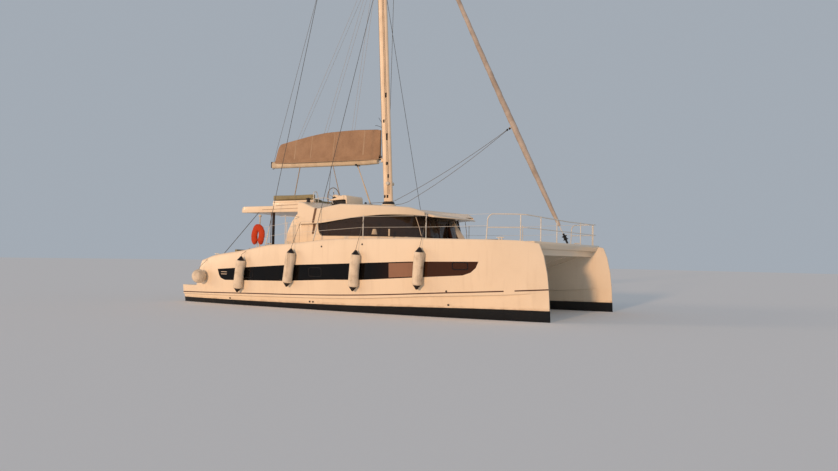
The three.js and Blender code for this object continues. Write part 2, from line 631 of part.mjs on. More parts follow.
function makeHardtop() {
  const corner = 500;
  const front = HOUSE_AFT_X - GAP;
  const plan = [
    [front, -HARDTOP_BEAM], [front, HARDTOP_BEAM], [HARDTOP_AFT_X + corner, HARDTOP_BEAM],
    [HARDTOP_AFT_X + 130, HARDTOP_BEAM - 150], [HARDTOP_AFT_X, HARDTOP_BEAM - corner],
    [HARDTOP_AFT_X, -HARDTOP_BEAM + corner], [HARDTOP_AFT_X + 130, -HARDTOP_BEAM + 150],
    [HARDTOP_AFT_X + corner, -HARDTOP_BEAM],
  ];
  // In side view the aft edge is drawn down to a thin lip
  const lip = [
    [front + 1, HARDTOP_UNDER_Z], [front + 1, HARDTOP_Z], [HARDTOP_AFT_X + 260, HARDTOP_Z],
    [HARDTOP_AFT_X, 3010], [HARDTOP_AFT_X, 2980], [HARDTOP_AFT_X + 150, HARDTOP_UNDER_Z],
  ];
  const sideView = prismAcross(lip, -HARDTOP_BEAM, HARDTOP_BEAM);
  const top = prismUp(plan, HARDTOP_UNDER_Z, HARDTOP_Z).intersect(sideView);
  // A low coaming stands along each side of the seating
  const foot = HARDTOP_Z - 5;
  const coaming = prismAcross([[-2930, foot], [-2850, 3225], [front, 3268], [front, foot]], -2830, -2700);
  const legs = [coaming, mirrored(coaming)];
  const post = bar([POST.x, -POST.y, 1700], [POST.x, -POST.y, HARDTOP_UNDER_Z + 20], POST.radius, 10);
  const strut = bar(STRUT_FOOT, STRUT_HEAD, 22);
  legs.push(post, mirrored(post), strut, mirrored(strut));
  place('hardtop', joined([top, ...legs]).subtract(hullsGrown), FINISH.gelcoat);
}

// A swept plate at each side carries the roof down to the side deck
function makeRoofFins() {
  const outline = [
    [-2330, 1900], [-2310, 2080], [-2230, 2350], [-2080, 2640], [-1900, 2860], [-1762, 2925], [-1762, 1900],
  ];
  const plate = prismAcross(outline, -HOUSE_BEAM, -HOUSE_BEAM + 60).subtract(hullsGrown);
  placeBoth('roof_fin', plate, FINISH.gelcoat);
}

// The wall between cockpit and saloon, with a pane at each side and a sliding door
const AFT_WALL_X = [-1749, -1690];
const AFT_PANE_X = [-1725, -1713];
const AFT_PANE_Z = [1500, 2800];
// Rows of side name and the pane's place across
const AFT_PANES = [['port', 60, 1500], ['starboard', -1500, -860]];
const AFT_DOOR_Y = [-740, -20];
const AFT_OPENING = { y: [-700, 0], z: [1060, 2860] };
const AFT_DOOR_THICKNESS = 36;

function makeAftWall() {
  const side = HOUSE_BEAM - WALL - GAP;
  const [x0, x1] = AFT_WALL_X;
  const throughX = [x0 - 100, x1 + 100];
  let wall = box(x0, x1, -side, side, SOLE_Z + GAP, CEILING_Z)
    .subtract(box(...throughX, ...AFT_OPENING.y, ...AFT_OPENING.z));
  const [low, high] = AFT_PANE_Z;
  for (const [hand, y0, y1] of AFT_PANES) {
    wall = wall.subtract(box(...throughX, y0, y1, low, high));
    place(`aft_glass_${hand}`, box(...AFT_PANE_X, y0 + GAP, y1 - GAP, low + GAP, high - GAP), FINISH.glazing);
  }
  // The hulls' inner sides stand up beside the passage, so the wall stops at them
  const passage = box(-3000, 900, -PASSAGE_Y + GAP, PASSAGE_Y - GAP, SOLE_Z + GAP, 3000);
  place('aft_bulkhead', wall.subtract(hullsGrown.subtract(passage)), FINISH.gelcoat);

  const faceX = x1 + RUNNING_GAP;
  const door = box(faceX, faceX + AFT_DOOR_THICKNESS, ...AFT_DOOR_Y, SOLE_Z + 12, 2880);
  const shoes = [AFT_DOOR_Y[0] + 40, AFT_DOOR_Y[1] - 80].map((y) => (
    box(faceX + 8, faceX + AFT_DOOR_THICKNESS - 8, y, y + 40, SOLE_Z + GAP, SOLE_Z + 13)
  ));
  place('aft_door', joined([door, ...shoes]), FINISH.glazing);
}

// The front door opens outward into the foredeck well, on a pin at its starboard edge
function makeFrontDoor() {
  const [back, face] = FRONT_DOOR_X;
  const foot = WELL_Z + RUNNING_GAP;
  const leaf = box(back, face, -FRONT_DOOR_HALF, FRONT_DOOR_HALF, foot, FRONT_DOOR_TOP_Z);
  const pinX = face - 12;
  const pinY = -FRONT_DOOR_HALF + 12;
  const pin = bar([pinX, pinY, WELL_Z + GAP], [pinX, pinY, foot + 1], 10, 10);
  place('front_door', leaf.add(pin), FINISH.glazing);
}

// Furniture of the cockpit, saloon and flybridge, in plain moulded and padded shapes
function makeFurniture() {
  const aftBench = box(-5650, -5100, -1700, 1700, SOLE_Z + GAP, 1420)
    .add(box(-5650, -5540, -1700, 1700, SOLE_Z + GAP, 1780));
  place('cockpit_bench', aftBench.add(box(-5101, -3300, 1150, 1700, SOLE_Z + GAP, 1420)), FINISH.cushion);
  const tableTop = box(-4750, -3500, 150, 1000, 1700, 1740);
  const tableLeg = box(-4225, -4025, 475, 675, SOLE_Z + GAP, 1701);
  place('cockpit_table', tableTop.add(tableLeg), FINISH.wood);
  const sofa = box(-300, 1450, 600, 1750, SOLE_Z + GAP, 1420).subtract(box(100, 1050, 500, 1250, 900, 1500))
    .add(box(-300, 1450, 1650, 1750, SOLE_Z + GAP, 1900));
  place('saloon_sofa', sofa, FINISH.cushion);
  const saloonTop = box(150, 1000, 450, 1200, 1700, 1740);
  const saloonLeg = box(500, 620, 700, 820, SOLE_Z + GAP, 1701);
  place('saloon_table', saloonTop.add(saloonLeg), FINISH.wood);
  place('galley_counter', box(-1300, 880, -2400, -1750, SOLE_Z + GAP, 1900), FINISH.wood);
  // The flybridge seat is L-shaped: along the starboard side, then across the aft end
  const SEAT_Z = 3330;
  const BACK_Z = 3570;
  const bench = box(-3560, -1900, -2140, -1540, HARDTOP_Z + GAP, SEAT_Z)
    .add(box(-3560, -2980, -1541, 950, HARDTOP_Z + GAP, SEAT_Z));
  place('flybridge_bench', bench, FINISH.gelcoat);
  const low = SEAT_Z + GAP;
  place('flybridge_cushion', joined([
    box(-3500, -1920, -2040, -1550, low, 3420), box(-3540, -1890, -2135, -2000, low, BACK_Z),
    box(-3500, -2990, -1551, 930, low, 3420), box(-3540, -3410, -2001, 945, low, BACK_Z),
  ]), FINISH.cushion);
}

// The helm: a console with its wheel facing aft
function makeHelm() {
  const outline = [
    [-1600, HARDTOP_Z], [-1600, 3600], [-1480, 3600], [-1150, 3560], [-700, 3540], [-610, 3400],
    [-560, 3100], [-1740, 3100], [-1740, HARDTOP_Z],
  ];
  const desk = prismAcross(outline, -1750, -850).subtract(roofGrown());
  const [wheelX, wheelY, wheelZ] = WHEEL_CENTRE;
  const boss = bar([-1599, wheelY, wheelZ], [-1630, wheelY, wheelZ], 60, 16);
  const shaftHole = bar([-1560, wheelY, wheelZ], [-1700, wheelY, wheelZ], 20.6, 16);
  place('helm_console', desk.add(boss).subtract(shaftHole), FINISH.gelcoat);
  const RIM = 14;
  const SPOKES = 5;
  const reach = WHEEL_RADIUS - RIM;
  const rim = new THREE.TorusGeometry(reach, RIM, 8, 32);
  rim.rotateY(Math.PI / 2);
  rim.translate(...WHEEL_CENTRE);
  const spokes = [];
  for (let i = 0; i < SPOKES; i += 1) {
    const angle = 2 * Math.PI * i / SPOKES + Math.PI / 2;
    const tip = [wheelX, wheelY + reach * Math.cos(angle), wheelZ + reach * Math.sin(angle)];
    spokes.push(bar(WHEEL_CENTRE, tip, 9, 8));
  }
  const hub = bar([wheelX + 25, wheelY, wheelZ], [wheelX - 25, wheelY, wheelZ], 45, 16);
  const shaft = bar(WHEEL_CENTRE, [-1570, wheelY, wheelZ], 20, 16);
  place('steering_wheel', joined([solid(rim), ...spokes, hub, shaft]), FINISH.steel);
}

// The roof and hardtop just under the helm, grown a little, as a block that the console is cut by
function roofGrown() {
  return loft([roofRing(ROOF_RINGS[0][0], () => 2600), ...roofTop(GAP)])
    .add(box(-4400, HOUSE_AFT_X + 1, -HARDTOP_BEAM, HARDTOP_BEAM, HARDTOP_UNDER_Z, HARDTOP_Z + GAP));
}

// The mast is an oval tube that leans aft, with one pair of swept spreaders
const mastX = (z) => MAST_FOOT_X - MAST_RAKE * (z - MAST_FOOT_Z);

function mastShape(grow) {
  const ringAt = (z, share) => {
    const points = [];
    const COUNT = 16;
    for (let i = 0; i < COUNT; i += 1) {
      const angle = 2 * Math.PI * (i + 0.5) / COUNT;
      points.push([
        mastX(z) + (MAST_CHORD / 2 * share + grow) * Math.cos(angle),
        (MAST_WIDTH / 2 * share + grow) * Math.sin(angle), z,
      ]);
    }
    return points;
  };
  return loft([ringAt(MAST_FOOT_Z + 12, 1), ringAt(15500, 1), ringAt(MAST_TOP_Z, 0.72)]);
}

const SHROUD_RADIUS = 8;
const SHROUD_HOLE = 8.8;
const CAP_FOOT = [-2700, 3430, 1700];
const CAP_HEAD_Z = 17300;
const LOWER_FOOT = [-850, 3400, 1900];
const LOWER_HEAD_Z = 11500;
const SPREADER_ROOT = 42;
const SPREADER_END = 26;
const PIN_X = mastX(BOOM_PIN_Z) - MAST_CHORD / 2 - 50;

// A point on the boom's pin, which leans with the mast, at a height from its middle
const alongMast = (height) => [PIN_X - MAST_RAKE * height, 0, BOOM_PIN_Z + height];

function makeMast() {
  const pieces = [mastShape(0)];
  const shroudHoles = [];
  const [tipX, tipY, tipZ] = SPREADER_TIP;
  for (const side of [-1, 1]) {
    const end = [tipX, side * (tipY - SHROUD_HOLE), tipZ];
    pieces.push(bar([mastX(tipZ), 0, tipZ], end, SPREADER_ROOT, 8, SPREADER_END));
    const tip = [tipX, side * tipY, tipZ];
    shroudHoles.push(bar([CAP_FOOT[0], side * CAP_FOOT[1], CAP_FOOT[2]], tip, SHROUD_HOLE, 16));
    shroudHoles.push(bar(tip, [mastX(CAP_HEAD_Z), 0, CAP_HEAD_Z], SHROUD_HOLE, 16));
    shroudHoles.push(ball(tip, SHROUD_HOLE + 2, 12, 8));
  }
  const bracket = box(PIN_X - 25, mastX(BOOM_PIN_Z), -28, 28, BOOM_PIN_Z - 50, BOOM_PIN_Z + 50);
  const pinHole = bar(alongMast(-90), alongMast(90), 12.6, 12);
  let mast = joined([...pieces, bracket.subtract(pinHole)]);
  const upper = box(-4000, 0, -3000, 3000, 11000, 13000);
  for (const hole of shroudHoles) {
    mast = mast.subtract(hole.intersect(upper));
  }
  place('mast', mast, FINISH.spar);
}

// Cap shrouds run over the spreader tips to the masthead; lower shrouds end under the spreaders
function makeShrouds() {
  const mastGrown = mastShape(GAP);
  const toStarboard = ([x, y, z]) => [x, -y, z];
  const tip = toStarboard(SPREADER_TIP);
  const capHead = [mastX(CAP_HEAD_Z), 0, CAP_HEAD_Z];
  const cap = pipe([toStarboard(CAP_FOOT), tip, capHead], SHROUD_RADIUS);
  placeBoth('cap_shroud', cap.subtract(mastGrown).subtract(hullGrown), FINISH.steel);

  const spreaderGrown = bar([mastX(tip[2]), 0, tip[2]], tip, SPREADER_ROOT + 1, 8, SPREADER_END + 1);
  const lowerHead = [mastX(LOWER_HEAD_Z), 0, LOWER_HEAD_Z];
  const lower = bar(toStarboard(LOWER_FOOT), lowerHead, SHROUD_RADIUS);
  const lowerCut = lower.subtract(mastGrown).subtract(hullGrown).subtract(spreaderGrown);
  placeBoth('lower_shroud', lowerCut, FINISH.steel);
}

// The headsail is rolled round the forestay, above a furling drum
const SAG = 130;
function makeHeadsail() {
  const [footX, , footZ] = STAY_FOOT;
  const headX = mastX(STAY_TOP_Z);
  const ringAt = ([share, radius]) => {
    const points = [];
    const COUNT = 12;
    const sag = 4 * SAG * share * (1 - share);
    const z = footZ + (STAY_TOP_Z - footZ) * share;
    const x = footX + (headX - footX) * share - sag;
    for (let i = 0; i < COUNT; i += 1) {
      const angle = 2 * Math.PI * (i + 0.5) / COUNT;
      points.push([x + radius * Math.cos(angle), radius * Math.sin(angle), z]);
    }
    return points;
  };
  // Rows of share of the stay's length and radius of the roll
  const rows = [
    [0.02, 14], [0.03, 45], [0.05, 55], [0.13, 75], [0.22, 88], [0.35, 76], [0.5, 66], [0.7, 54], [0.9, 38],
    [0.955, 30], [0.96, 12], [1, 12],
  ];
  const sail = loft(rows.map(ringAt)).subtract(mastShape(GAP));
  place('furled_headsail', sail, FINISH.canvas);
  const drum = [
    bar([footX, 0, FOREDECK_Z + GAP], [footX, 0, footZ + 20], 30, 10),
    bar([footX, 0, footZ + 10], [footX - 20, 0, footZ + 60], 75, 14),
    bar([footX - 20, 0, footZ + 60], [footX - 60, 0, footZ + 150], 45, 14),
    bar([footX - 60, 0, footZ + 150], [footX - 100, 0, footZ + 210], 75, 14),
  ];
  // The stay comes down inside the drum; the drum stops a hair short of the rolled sail
  const stay = loft([ringAt([0.003, 14]), ringAt([0.02 - GAP / STAY_TOP_Z, 14])]);
  const above = loft([ringAt([0.02, 400]), ringAt([0.05, 400])]);
  place('furler_drum', joined([...drum, stay]).subtract(above), FINISH.steel);
}

// The boom hangs on a pin behind the mast, and the sail bag lies along its top
function makeBoom() {
  const SIDES = 12;
  // Rows of place along the boom, underside, top and half width
  const sections = [[BOOM_FRONT_X, 4720, 4970, 90], [-1400, 4700, 4990, 110], [BOOM_END_X, 4800, 5020, 95]];
  const boomShape = (grow) => loft(sections.map(([x, low, high, half], k) => {
    const points = [];
    for (let i = 0; i < SIDES; i += 1) {
      const angle = 2 * Math.PI * (i + 0.5) / SIDES + Math.PI / 2;
      const y = (half + grow) * Math.cos(angle);
      points.push([x + grow * (1 - k), y, (low + high) / 2 + ((high - low) / 2 + grow) * Math.sin(angle)]);
    }
    return points;
  }));
  const cheeks = [
    box(BOOM_FRONT_X - 60, PIN_X + 24, -26, 26, BOOM_PIN_Z + 56, BOOM_PIN_Z + 76),
    box(BOOM_FRONT_X - 60, PIN_X + 24, -26, 26, BOOM_PIN_Z - 76, BOOM_PIN_Z - 56),
  ];
  const pin = bar(alongMast(-75), alongMast(75), 12, 12);
  place('boom', joined([boomShape(0), ...cheeks, pin]), FINISH.spar);

  // Rows of place along the boom, foot height, top height, half width at the foot and at the top
  const rows = [
    [-800, 5040, 5880, 45, 25], [-1000, 5035, 5900, 110, 45], [-1500, 5030, 5920, 165, 60],
    [-2900, 5035, 5935, 175, 65], [-4300, 5040, 5720, 160, 60], [-5100, 5045, 5520, 120, 45],
    [-5330, 5050, 5160, 70, 40],
  ];
  const rings = rows.map(([x, low, high, foot, top]) => {
    const across = [
      [0, foot * 0.5], [0.06, foot * 0.9], [0.3, foot], [0.65, (foot + top) / 2], [0.92, top], [1, top * 0.4],
    ];
    const side = across.map(([share, half]) => [half, low + (high - low) * share]);
    const starboard = side.map(([half, z]) => [x, -half, z]);
    const port = side.map(([half, z]) => [x, half, z]).reverse();
    return [...starboard, ...port];
  });
  const under = rings.map((points) => points.map(([x, y, z], i) => {
    const isFoot = i === 0 || i === points.length - 1;
    return [x, y, isFoot ? 4930 : z];
  }));
  place('sail_bag', loft(under).subtract(boomShape(GAP)), FINISH.canvas);
}

// Rails and stanchions of stainless tube, standing on the deck edge
const RAIL_TUBE = 14;
const POST_RADIUS = 13;
const WIRE = 6;
const RAIL_Y = 3330;
const WIRE_HEIGHTS = [330, 640];
const WIRE_TOP = WIRE_HEIGHTS[1];
// Rows of x and deck height under each side post
const SIDE_POSTS = [[-3100, 1790], [-1900, 1940], [940, 2110], [3030, 2110]];
// Where each wire meets the bow rail, as rows of [x, y]
const WIRE_ENDS = [[4801, -3226], [4872, -3218]];

function makeRails() {
  const bowPoints = [
    [4800, -3230, 2050], [4835, -3225, 2680], [4920, -3205, 2780], [5500, -3010, 2780], [5780, -2860, 2770],
    [5905, -2200, 2740], [5905, 0, 2720],
  ];
  const port = bowPoints.slice(0, -1).map(([x, y, z]) => [x, -y, z]).reverse();
  const top = pipe([...bowPoints, ...port], RAIL_TUBE);
  const middlePoints = [[4818, -3227, 2430], [5500, -3010, 2430], [5780, -2860, 2430], [5905, -2200, 2420]];
  const middlePort = middlePoints.map(([x, y, z]) => [x, -y, z]).reverse();
  const middle = pipe([...middlePoints, ...middlePort], RAIL_TUBE - 3);
  const posts = [[5640, -2935, 2775], [5905, -2200, 2740], [5905, -1000, 2730]];
  const standing = [];
  for (const [x, y, z] of posts) {
    standing.push(bar([x, y, 2040], [x, y, z], RAIL_TUBE, 6));
    standing.push(bar([x, -y, 2040], [x, -y, z], RAIL_TUBE, 6));
  }
  const foredeckTop = box(1600, 6000, -2800, 2800, 1950, FOREDECK_Z + GAP);
  const rail = joined([top, middle, ...standing]).subtract(hullsGrown).subtract(foredeckTop);
  place('bow_rail', rail, FINISH.steel);

  const sideRail = joined([...guardWires(WIRE), ...sidePosts(POST_RADIUS)]);
  placeBoth('side_rail', sideRail.subtract(hullGrown), FINISH.steel);
}

// The two wires of the starboard side rail, at a given radius
function guardWires(radius) {
  return WIRE_HEIGHTS.map((height, i) => {
    const along = SIDE_POSTS.map(([x, z]) => [x, -RAIL_Y, z + height]);
    return pipe([...along, [...WIRE_ENDS[i], along[along.length - 1][2]]], radius);
  });
}

// The starboard side rail's uprights, at a given radius
function sidePosts(radius) {
  return SIDE_POSTS.map(([x, z]) => bar([x, -RAIL_Y, z - 60], [x, -RAIL_Y, z + WIRE_TOP + 10], radius, 6));
}

// Fenders hang against the starboard topside; they are solids of revolution
const FENDER_RADIUS = 145;
// Rows of the places of each long fender's top and bottom tips along the side, and their heights
const FENDERS = [
  { topX: -3500, footX: -3560, top: 1540, foot: 420 },
  { topX: -1490, footX: -1560, top: 1800, foot: 660 },
  { topX: 900, footX: 850, top: 1780, foot: 620 },
  { topX: 3020, footX: 2980, top: 1880, foot: 740 },
];
const BALL = { x: -5350, z: 870, radius: 235 };
const PRESSED = 16; // how far a soft fender flattens against the topside

// How far outboard the starboard topside reaches at a place along the boat
function topsideY(x) {
  const widest = HULL_LINES[7];
  const aft = Math.max(0, (STERN_TAPER_X - x) / (STERN_TAPER_X - STERN_X));
  const full = 1 - (1 - Math.min((BOW_X - x) / widest.entry, 1)) ** widest.fullness;
  return -HULL_Y - STEM_HALF_WIDTH - (widest.outer * (1 - STERN_TAPER * aft ** 2) - STEM_HALF_WIDTH) * full;
}

function makeFenders() {
  FENDERS.forEach(({ topX, footX, top, foot }, i) => {
    const length = top - foot;
    const profile = [
      [0, 0], [28, 0], [34, 60], [105, 130], [FENDER_RADIUS, 210], [FENDER_RADIUS, length - 210],
      [105, length - 130], [34, length - 60], [28, length], [0, length],
    ].map(([r, h]) => new THREE.Vector2(r, h));
    const geometry = new THREE.LatheGeometry(profile, 14);
    geometry.rotateX(Math.PI / 2);
    geometry.rotateY(Math.atan2(topX - footX, length));
    geometry.translate(footX, topsideY((topX + footX) / 2) - FENDER_RADIUS + PRESSED, foot);
    place(`fender_${i + 1}`, solid(geometry).subtract(hullGrown), FINISH.fender);
  });
  const round = ball([BALL.x, topsideY(BALL.x) - BALL.radius + PRESSED, BALL.z], BALL.radius, 14, 9);
  place('ball_fender', round.subtract(hullGrown), FINISH.fender);
}

// The horseshoe lifebuoy hangs outside the side rail by the cockpit, open end down
const LIFEBUOY = { x: -3010, z: 2190, halfWidth: 205, halfHeight: 320, thickness: 62 };
function makeLifebuoy() {
  const COUNT = 14;
  const { x, z, halfWidth, halfHeight, thickness } = LIFEBUOY;
  const points = [];
  for (let i = 0; i <= COUNT; i += 1) {
    const angle = -0.38 * Math.PI + 1.76 * Math.PI * i / COUNT;
    points.push([x + halfWidth * Math.cos(angle), -RAIL_Y - thickness, z + halfHeight * Math.sin(angle)]);
  }
  const behind = [...guardWires(WIRE + GAP), ...sidePosts(POST_RADIUS + GAP)];
  const buoy = behind.reduce((body, rail) => body.subtract(rail), pipe(points, thickness, 8));
  place('lifebuoy', buoy, FINISH.buoy);
}

makeHulls();
const bridgeBody = bridgeDeckShape();
place('bridge_deck', bridgeBody, FINISH.gelcoat);
makeKeels();
makeSaildrives();
makePropellers();
makeRudders();
makeEngines();
makeDeckhouse(bridgeBody);
makeCoachroof();
makeHardtop();
makeRoofFins();
makeAftWall();
makeFrontDoor();
makeFurniture();
makeHelm();
makeMast();
makeShrouds();
makeHeadsail();
makeBoom();
makeRails();
makeFenders();
makeLifebuoy();

export default boat;
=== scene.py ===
# %% [markdown]
# # A cruising catamaran, dressed for its portrait
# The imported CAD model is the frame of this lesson: it says where everything is and what moves. Each
# step below adds one kind of piece or finish to it. New shapes are worked out with numpy as whole
# arrays of points, so that a formula in words is enough to follow them. Lengths are in metres, X
# points forward, Y to port and Z up, and the water's surface is Z = 0.

# %% Load the frame
import json
import math

import bmesh
import bpy
import numpy as np
from mathutils import Matrix, Vector

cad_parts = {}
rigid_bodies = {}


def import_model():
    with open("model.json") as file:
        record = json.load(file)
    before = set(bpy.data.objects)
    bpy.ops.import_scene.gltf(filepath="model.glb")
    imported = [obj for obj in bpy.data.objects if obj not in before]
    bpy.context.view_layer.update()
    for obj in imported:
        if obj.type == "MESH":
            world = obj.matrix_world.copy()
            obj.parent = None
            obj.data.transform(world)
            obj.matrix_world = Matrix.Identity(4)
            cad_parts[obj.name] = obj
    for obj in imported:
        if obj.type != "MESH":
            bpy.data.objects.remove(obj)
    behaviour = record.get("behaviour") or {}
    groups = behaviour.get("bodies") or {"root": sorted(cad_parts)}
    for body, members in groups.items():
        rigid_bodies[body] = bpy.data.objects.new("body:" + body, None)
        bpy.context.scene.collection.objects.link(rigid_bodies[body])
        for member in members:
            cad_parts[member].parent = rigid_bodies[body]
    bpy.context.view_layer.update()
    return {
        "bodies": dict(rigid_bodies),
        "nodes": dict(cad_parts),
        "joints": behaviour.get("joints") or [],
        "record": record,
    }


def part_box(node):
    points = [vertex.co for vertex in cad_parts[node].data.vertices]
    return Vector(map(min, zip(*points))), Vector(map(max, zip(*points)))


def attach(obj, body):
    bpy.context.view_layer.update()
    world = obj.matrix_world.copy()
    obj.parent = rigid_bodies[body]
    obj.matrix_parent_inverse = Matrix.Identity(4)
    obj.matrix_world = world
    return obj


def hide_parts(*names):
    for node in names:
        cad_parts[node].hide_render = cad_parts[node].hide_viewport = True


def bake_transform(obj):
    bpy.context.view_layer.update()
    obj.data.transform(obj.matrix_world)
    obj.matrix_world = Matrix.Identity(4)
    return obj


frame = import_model()
nodes = frame["nodes"]

# %% [markdown]
# ## The camera
# The photograph was taken from low over the water off the starboard bow. The lens of the fitted
# camera stands there and looks a little upward. Three angles and a place are enough: the view direction comes
# from the heading and the pitch, and the roll then turns the picture about it.

# %% Set the camera
CAMERA_PLACE = Vector((13.48, -21.20, 1.59))
HEADING, PITCH, ROLL = (math.radians(a) for a in (30.84, 1.70, 1.09))
LENS_PIXELS = 760.3
IMAGE_WIDTH = 838
SENSOR = 36.0

forward = Vector((-math.sin(HEADING) * math.cos(PITCH), math.cos(HEADING) * math.cos(PITCH),
                  math.sin(PITCH)))
level_right = Vector((math.cos(HEADING), math.sin(HEADING), 0.0))
level_up = level_right.cross(forward)
right = math.cos(ROLL) * level_right + math.sin(ROLL) * level_up
up = right.cross(forward)

camera = bpy.data.objects.new("camera", bpy.data.cameras.new("camera"))
bpy.context.scene.collection.objects.link(camera)
camera.matrix_world = Matrix.Translation(CAMERA_PLACE) @ Matrix((right, up, -forward)).transposed().to_4x4()
camera.data.sensor_width = SENSOR
camera.data.lens = LENS_PIXELS * SENSOR / IMAGE_WIDTH
camera.data.clip_end = 500.0
bpy.context.scene.camera = camera
print("lens", round(camera.data.lens, 2), "mm")

# %% [markdown]
# ## Light and floor
# The boat stands in studio light: one low warm lamp from the starboard side, a fainter warm one from
# aft on the same side, and a pale cool surround. The floor lies at the waterline, where the water
# would be, so the underwater parts stay below it.

# %% Light the studio
KEY_WARMTH = (1.0, 0.63, 0.37)
FILL_WARMTH = (1.0, 0.74, 0.50)
SURROUND = (0.80, 0.89, 1.0)


def sun(name, towards, strength, colour, softness, shine):
    """A lamp infinitely far off in the direction 'towards'. 'shine' is whether it shows as a glint."""
    lamp = bpy.data.lights.new(name, "SUN")
    lamp.energy, lamp.color, lamp.angle = strength, colour, math.radians(softness)
    holder = bpy.data.objects.new(name, lamp)
    holder.rotation_mode, holder.visible_glossy, holder.visible_transmission = "QUATERNION", shine, False
    holder.rotation_quaternion = Vector(towards).to_track_quat("Z", "Y")
    bpy.context.scene.collection.objects.link(holder)


sun("key", (0.08, -0.98, 0.14), 2.15, KEY_WARMTH, 4, False)
sun("fill", (-0.85, -0.50, 0.20), 0.62, FILL_WARMTH, 20, True)
world = bpy.data.worlds.new("surround")
world.use_nodes = True
world.node_tree.nodes["Background"].inputs["Color"].default_value = (*SURROUND, 1.0)
world.node_tree.nodes["Background"].inputs["Strength"].default_value = 0.46
bpy.context.scene.world = world
bpy.context.scene.view_settings.view_transform = "Standard"

# %% [markdown]
# ## Meshes from arrays
# A shape here is a grid of points: one direction runs along the piece and the other round it. The
# corner numbers of all its four-sided faces follow from the grid's size alone, so both arrays go into
# the mesh at once. The same numbers, measured in metres, are the piece's UV map, which cloth needs.

# %% Helpers that turn grids into pieces
SHARP = math.radians(38)


def corner_numbers(rows, columns, around):
    """Quads of a grid: each joins a point to the next column and the next row; 'around' closes it."""
    across = columns if around else columns - 1
    row, column = np.arange(rows - 1)[:, None], np.arange(across)[None, :]
    first, second = row * columns + column, row * columns + (column + 1) % columns
    return np.stack([first, second, second + columns, first + columns], -1).reshape(-1, 4)


def distances(grid, axis):
    """Mean distance travelled along one direction of a grid, from 0 at its first line."""
    step = np.linalg.norm(np.diff(grid, axis=axis), axis=2).mean(axis=1 - axis)
    return np.concatenate([[0.0], np.cumsum(step)])


def mesh_from(name, points, quads, uv=None):
    """A mesh straight from whole arrays of points, corner numbers and UV pairs of each corner."""
    mesh = bpy.data.meshes.new(name)
    mesh.vertices.add(len(points))
    mesh.vertices.foreach_set("co", np.asarray(points, np.float32).ravel())
    mesh.loops.add(quads.size)
    mesh.loops.foreach_set("vertex_index", quads.astype(np.int32).ravel())
    mesh.polygons.add(len(quads))
    mesh.polygons.foreach_set("loop_start", np.arange(0, quads.size, 4, dtype=np.int32))
    if uv is not None:
        mesh.uv_layers.new(name="metres").data.foreach_set("uv", np.asarray(uv, np.float32).ravel())
    mesh.update(calc_edges=True)
    return mesh


def grid_mesh(name, grid, around=False, closed=True):
    """A grid (rows, columns, 3) as a mesh; closed fills the open ends and turns the faces outward."""
    rows, columns = grid.shape[:2]
    quads = corner_numbers(rows, columns, around)
    shown = np.concatenate([grid, grid[:, :1]], axis=1) if around else grid
    along, across = distances(shown, 0), distances(shown, 1)
    u = np.stack([across[:-1], across[1:], across[1:], across[:-1]], -1)
    v = np.stack([along[:-1], along[:-1], along[1:], along[1:]], -1)
    uv = np.stack([np.broadcast_to(u[None], (rows - 1, *u.shape)),
                   np.broadcast_to(v[:, None], (rows - 1, *u.shape))], -1)
    mesh = mesh_from(name, grid.reshape(-1, 3), quads, uv)
    if closed:
        close(mesh)
    return mesh


def close(mesh):
    """Welds the points that lie together, caps what is open and turns all faces outward."""
    work = bmesh.new()
    work.from_mesh(mesh)
    bmesh.ops.remove_doubles(work, verts=work.verts, dist=2e-5)
    bmesh.ops.holes_fill(work, edges=[edge for edge in work.edges if edge.is_boundary])
    bmesh.ops.recalc_face_normals(work, faces=work.faces)
    if work.calc_volume(signed=True) < 0:
        bmesh.ops.reverse_faces(work, faces=work.faces)
    work.to_mesh(mesh)
    work.free()


def piece(name, mesh, finish, body="root", instead_of=(), sharp=SHARP):
    """Puts a mesh into the scene as a smooth-shaded piece that rides on a body."""
    made = bpy.data.objects.new(name, mesh)
    bpy.context.scene.collection.objects.link(made)
    mesh.materials.clear()
    mesh.materials.append(finish)
    mesh.polygons.foreach_set("use_smooth", np.ones(len(mesh.polygons), bool))
    mesh.set_sharp_from_angle(angle=sharp)
    if instead_of:
        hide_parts(*instead_of)
    if body:
        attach(made, body)
    return made


def mirror_mesh(mesh, name):
    """The same mesh on the other side of the centreline, with its faces turned back outward."""
    twin = mesh.copy()
    twin.name = name
    twin.transform(Matrix.Diagonal((1.0, -1.0, 1.0, 1.0)))
    twin.flip_normals()
    return twin


def both_sides(name, mesh, finish, **how):
    """The starboard piece and its port twin. 'instead_of' names a node without its side."""
    node = how.pop("instead_of", None)
    for side, each in (("starboard", mesh), ("port", mirror_mesh(mesh, name + "_port"))):
        replaced = (f"{node}_{side}",) if node else ()
        piece(f"{name}_{side}", each, finish, instead_of=replaced, **how)


def joined(name, meshes):
    """Several meshes as one."""
    work = bmesh.new()
    for each in meshes:
        work.from_mesh(each)
    whole = bpy.data.meshes.new(name)
    work.to_mesh(whole)
    work.free()
    return whole


print("helpers ready")

# %% [markdown]
# Three more ways to make a shape: a tube carried along a path, a profile turned about a line, and a
# box or side view given a depth. Carrying a ring along a bent path needs a pair of
# directions square to it that doesn't twist, so each step turns the last pair by as little as possible.

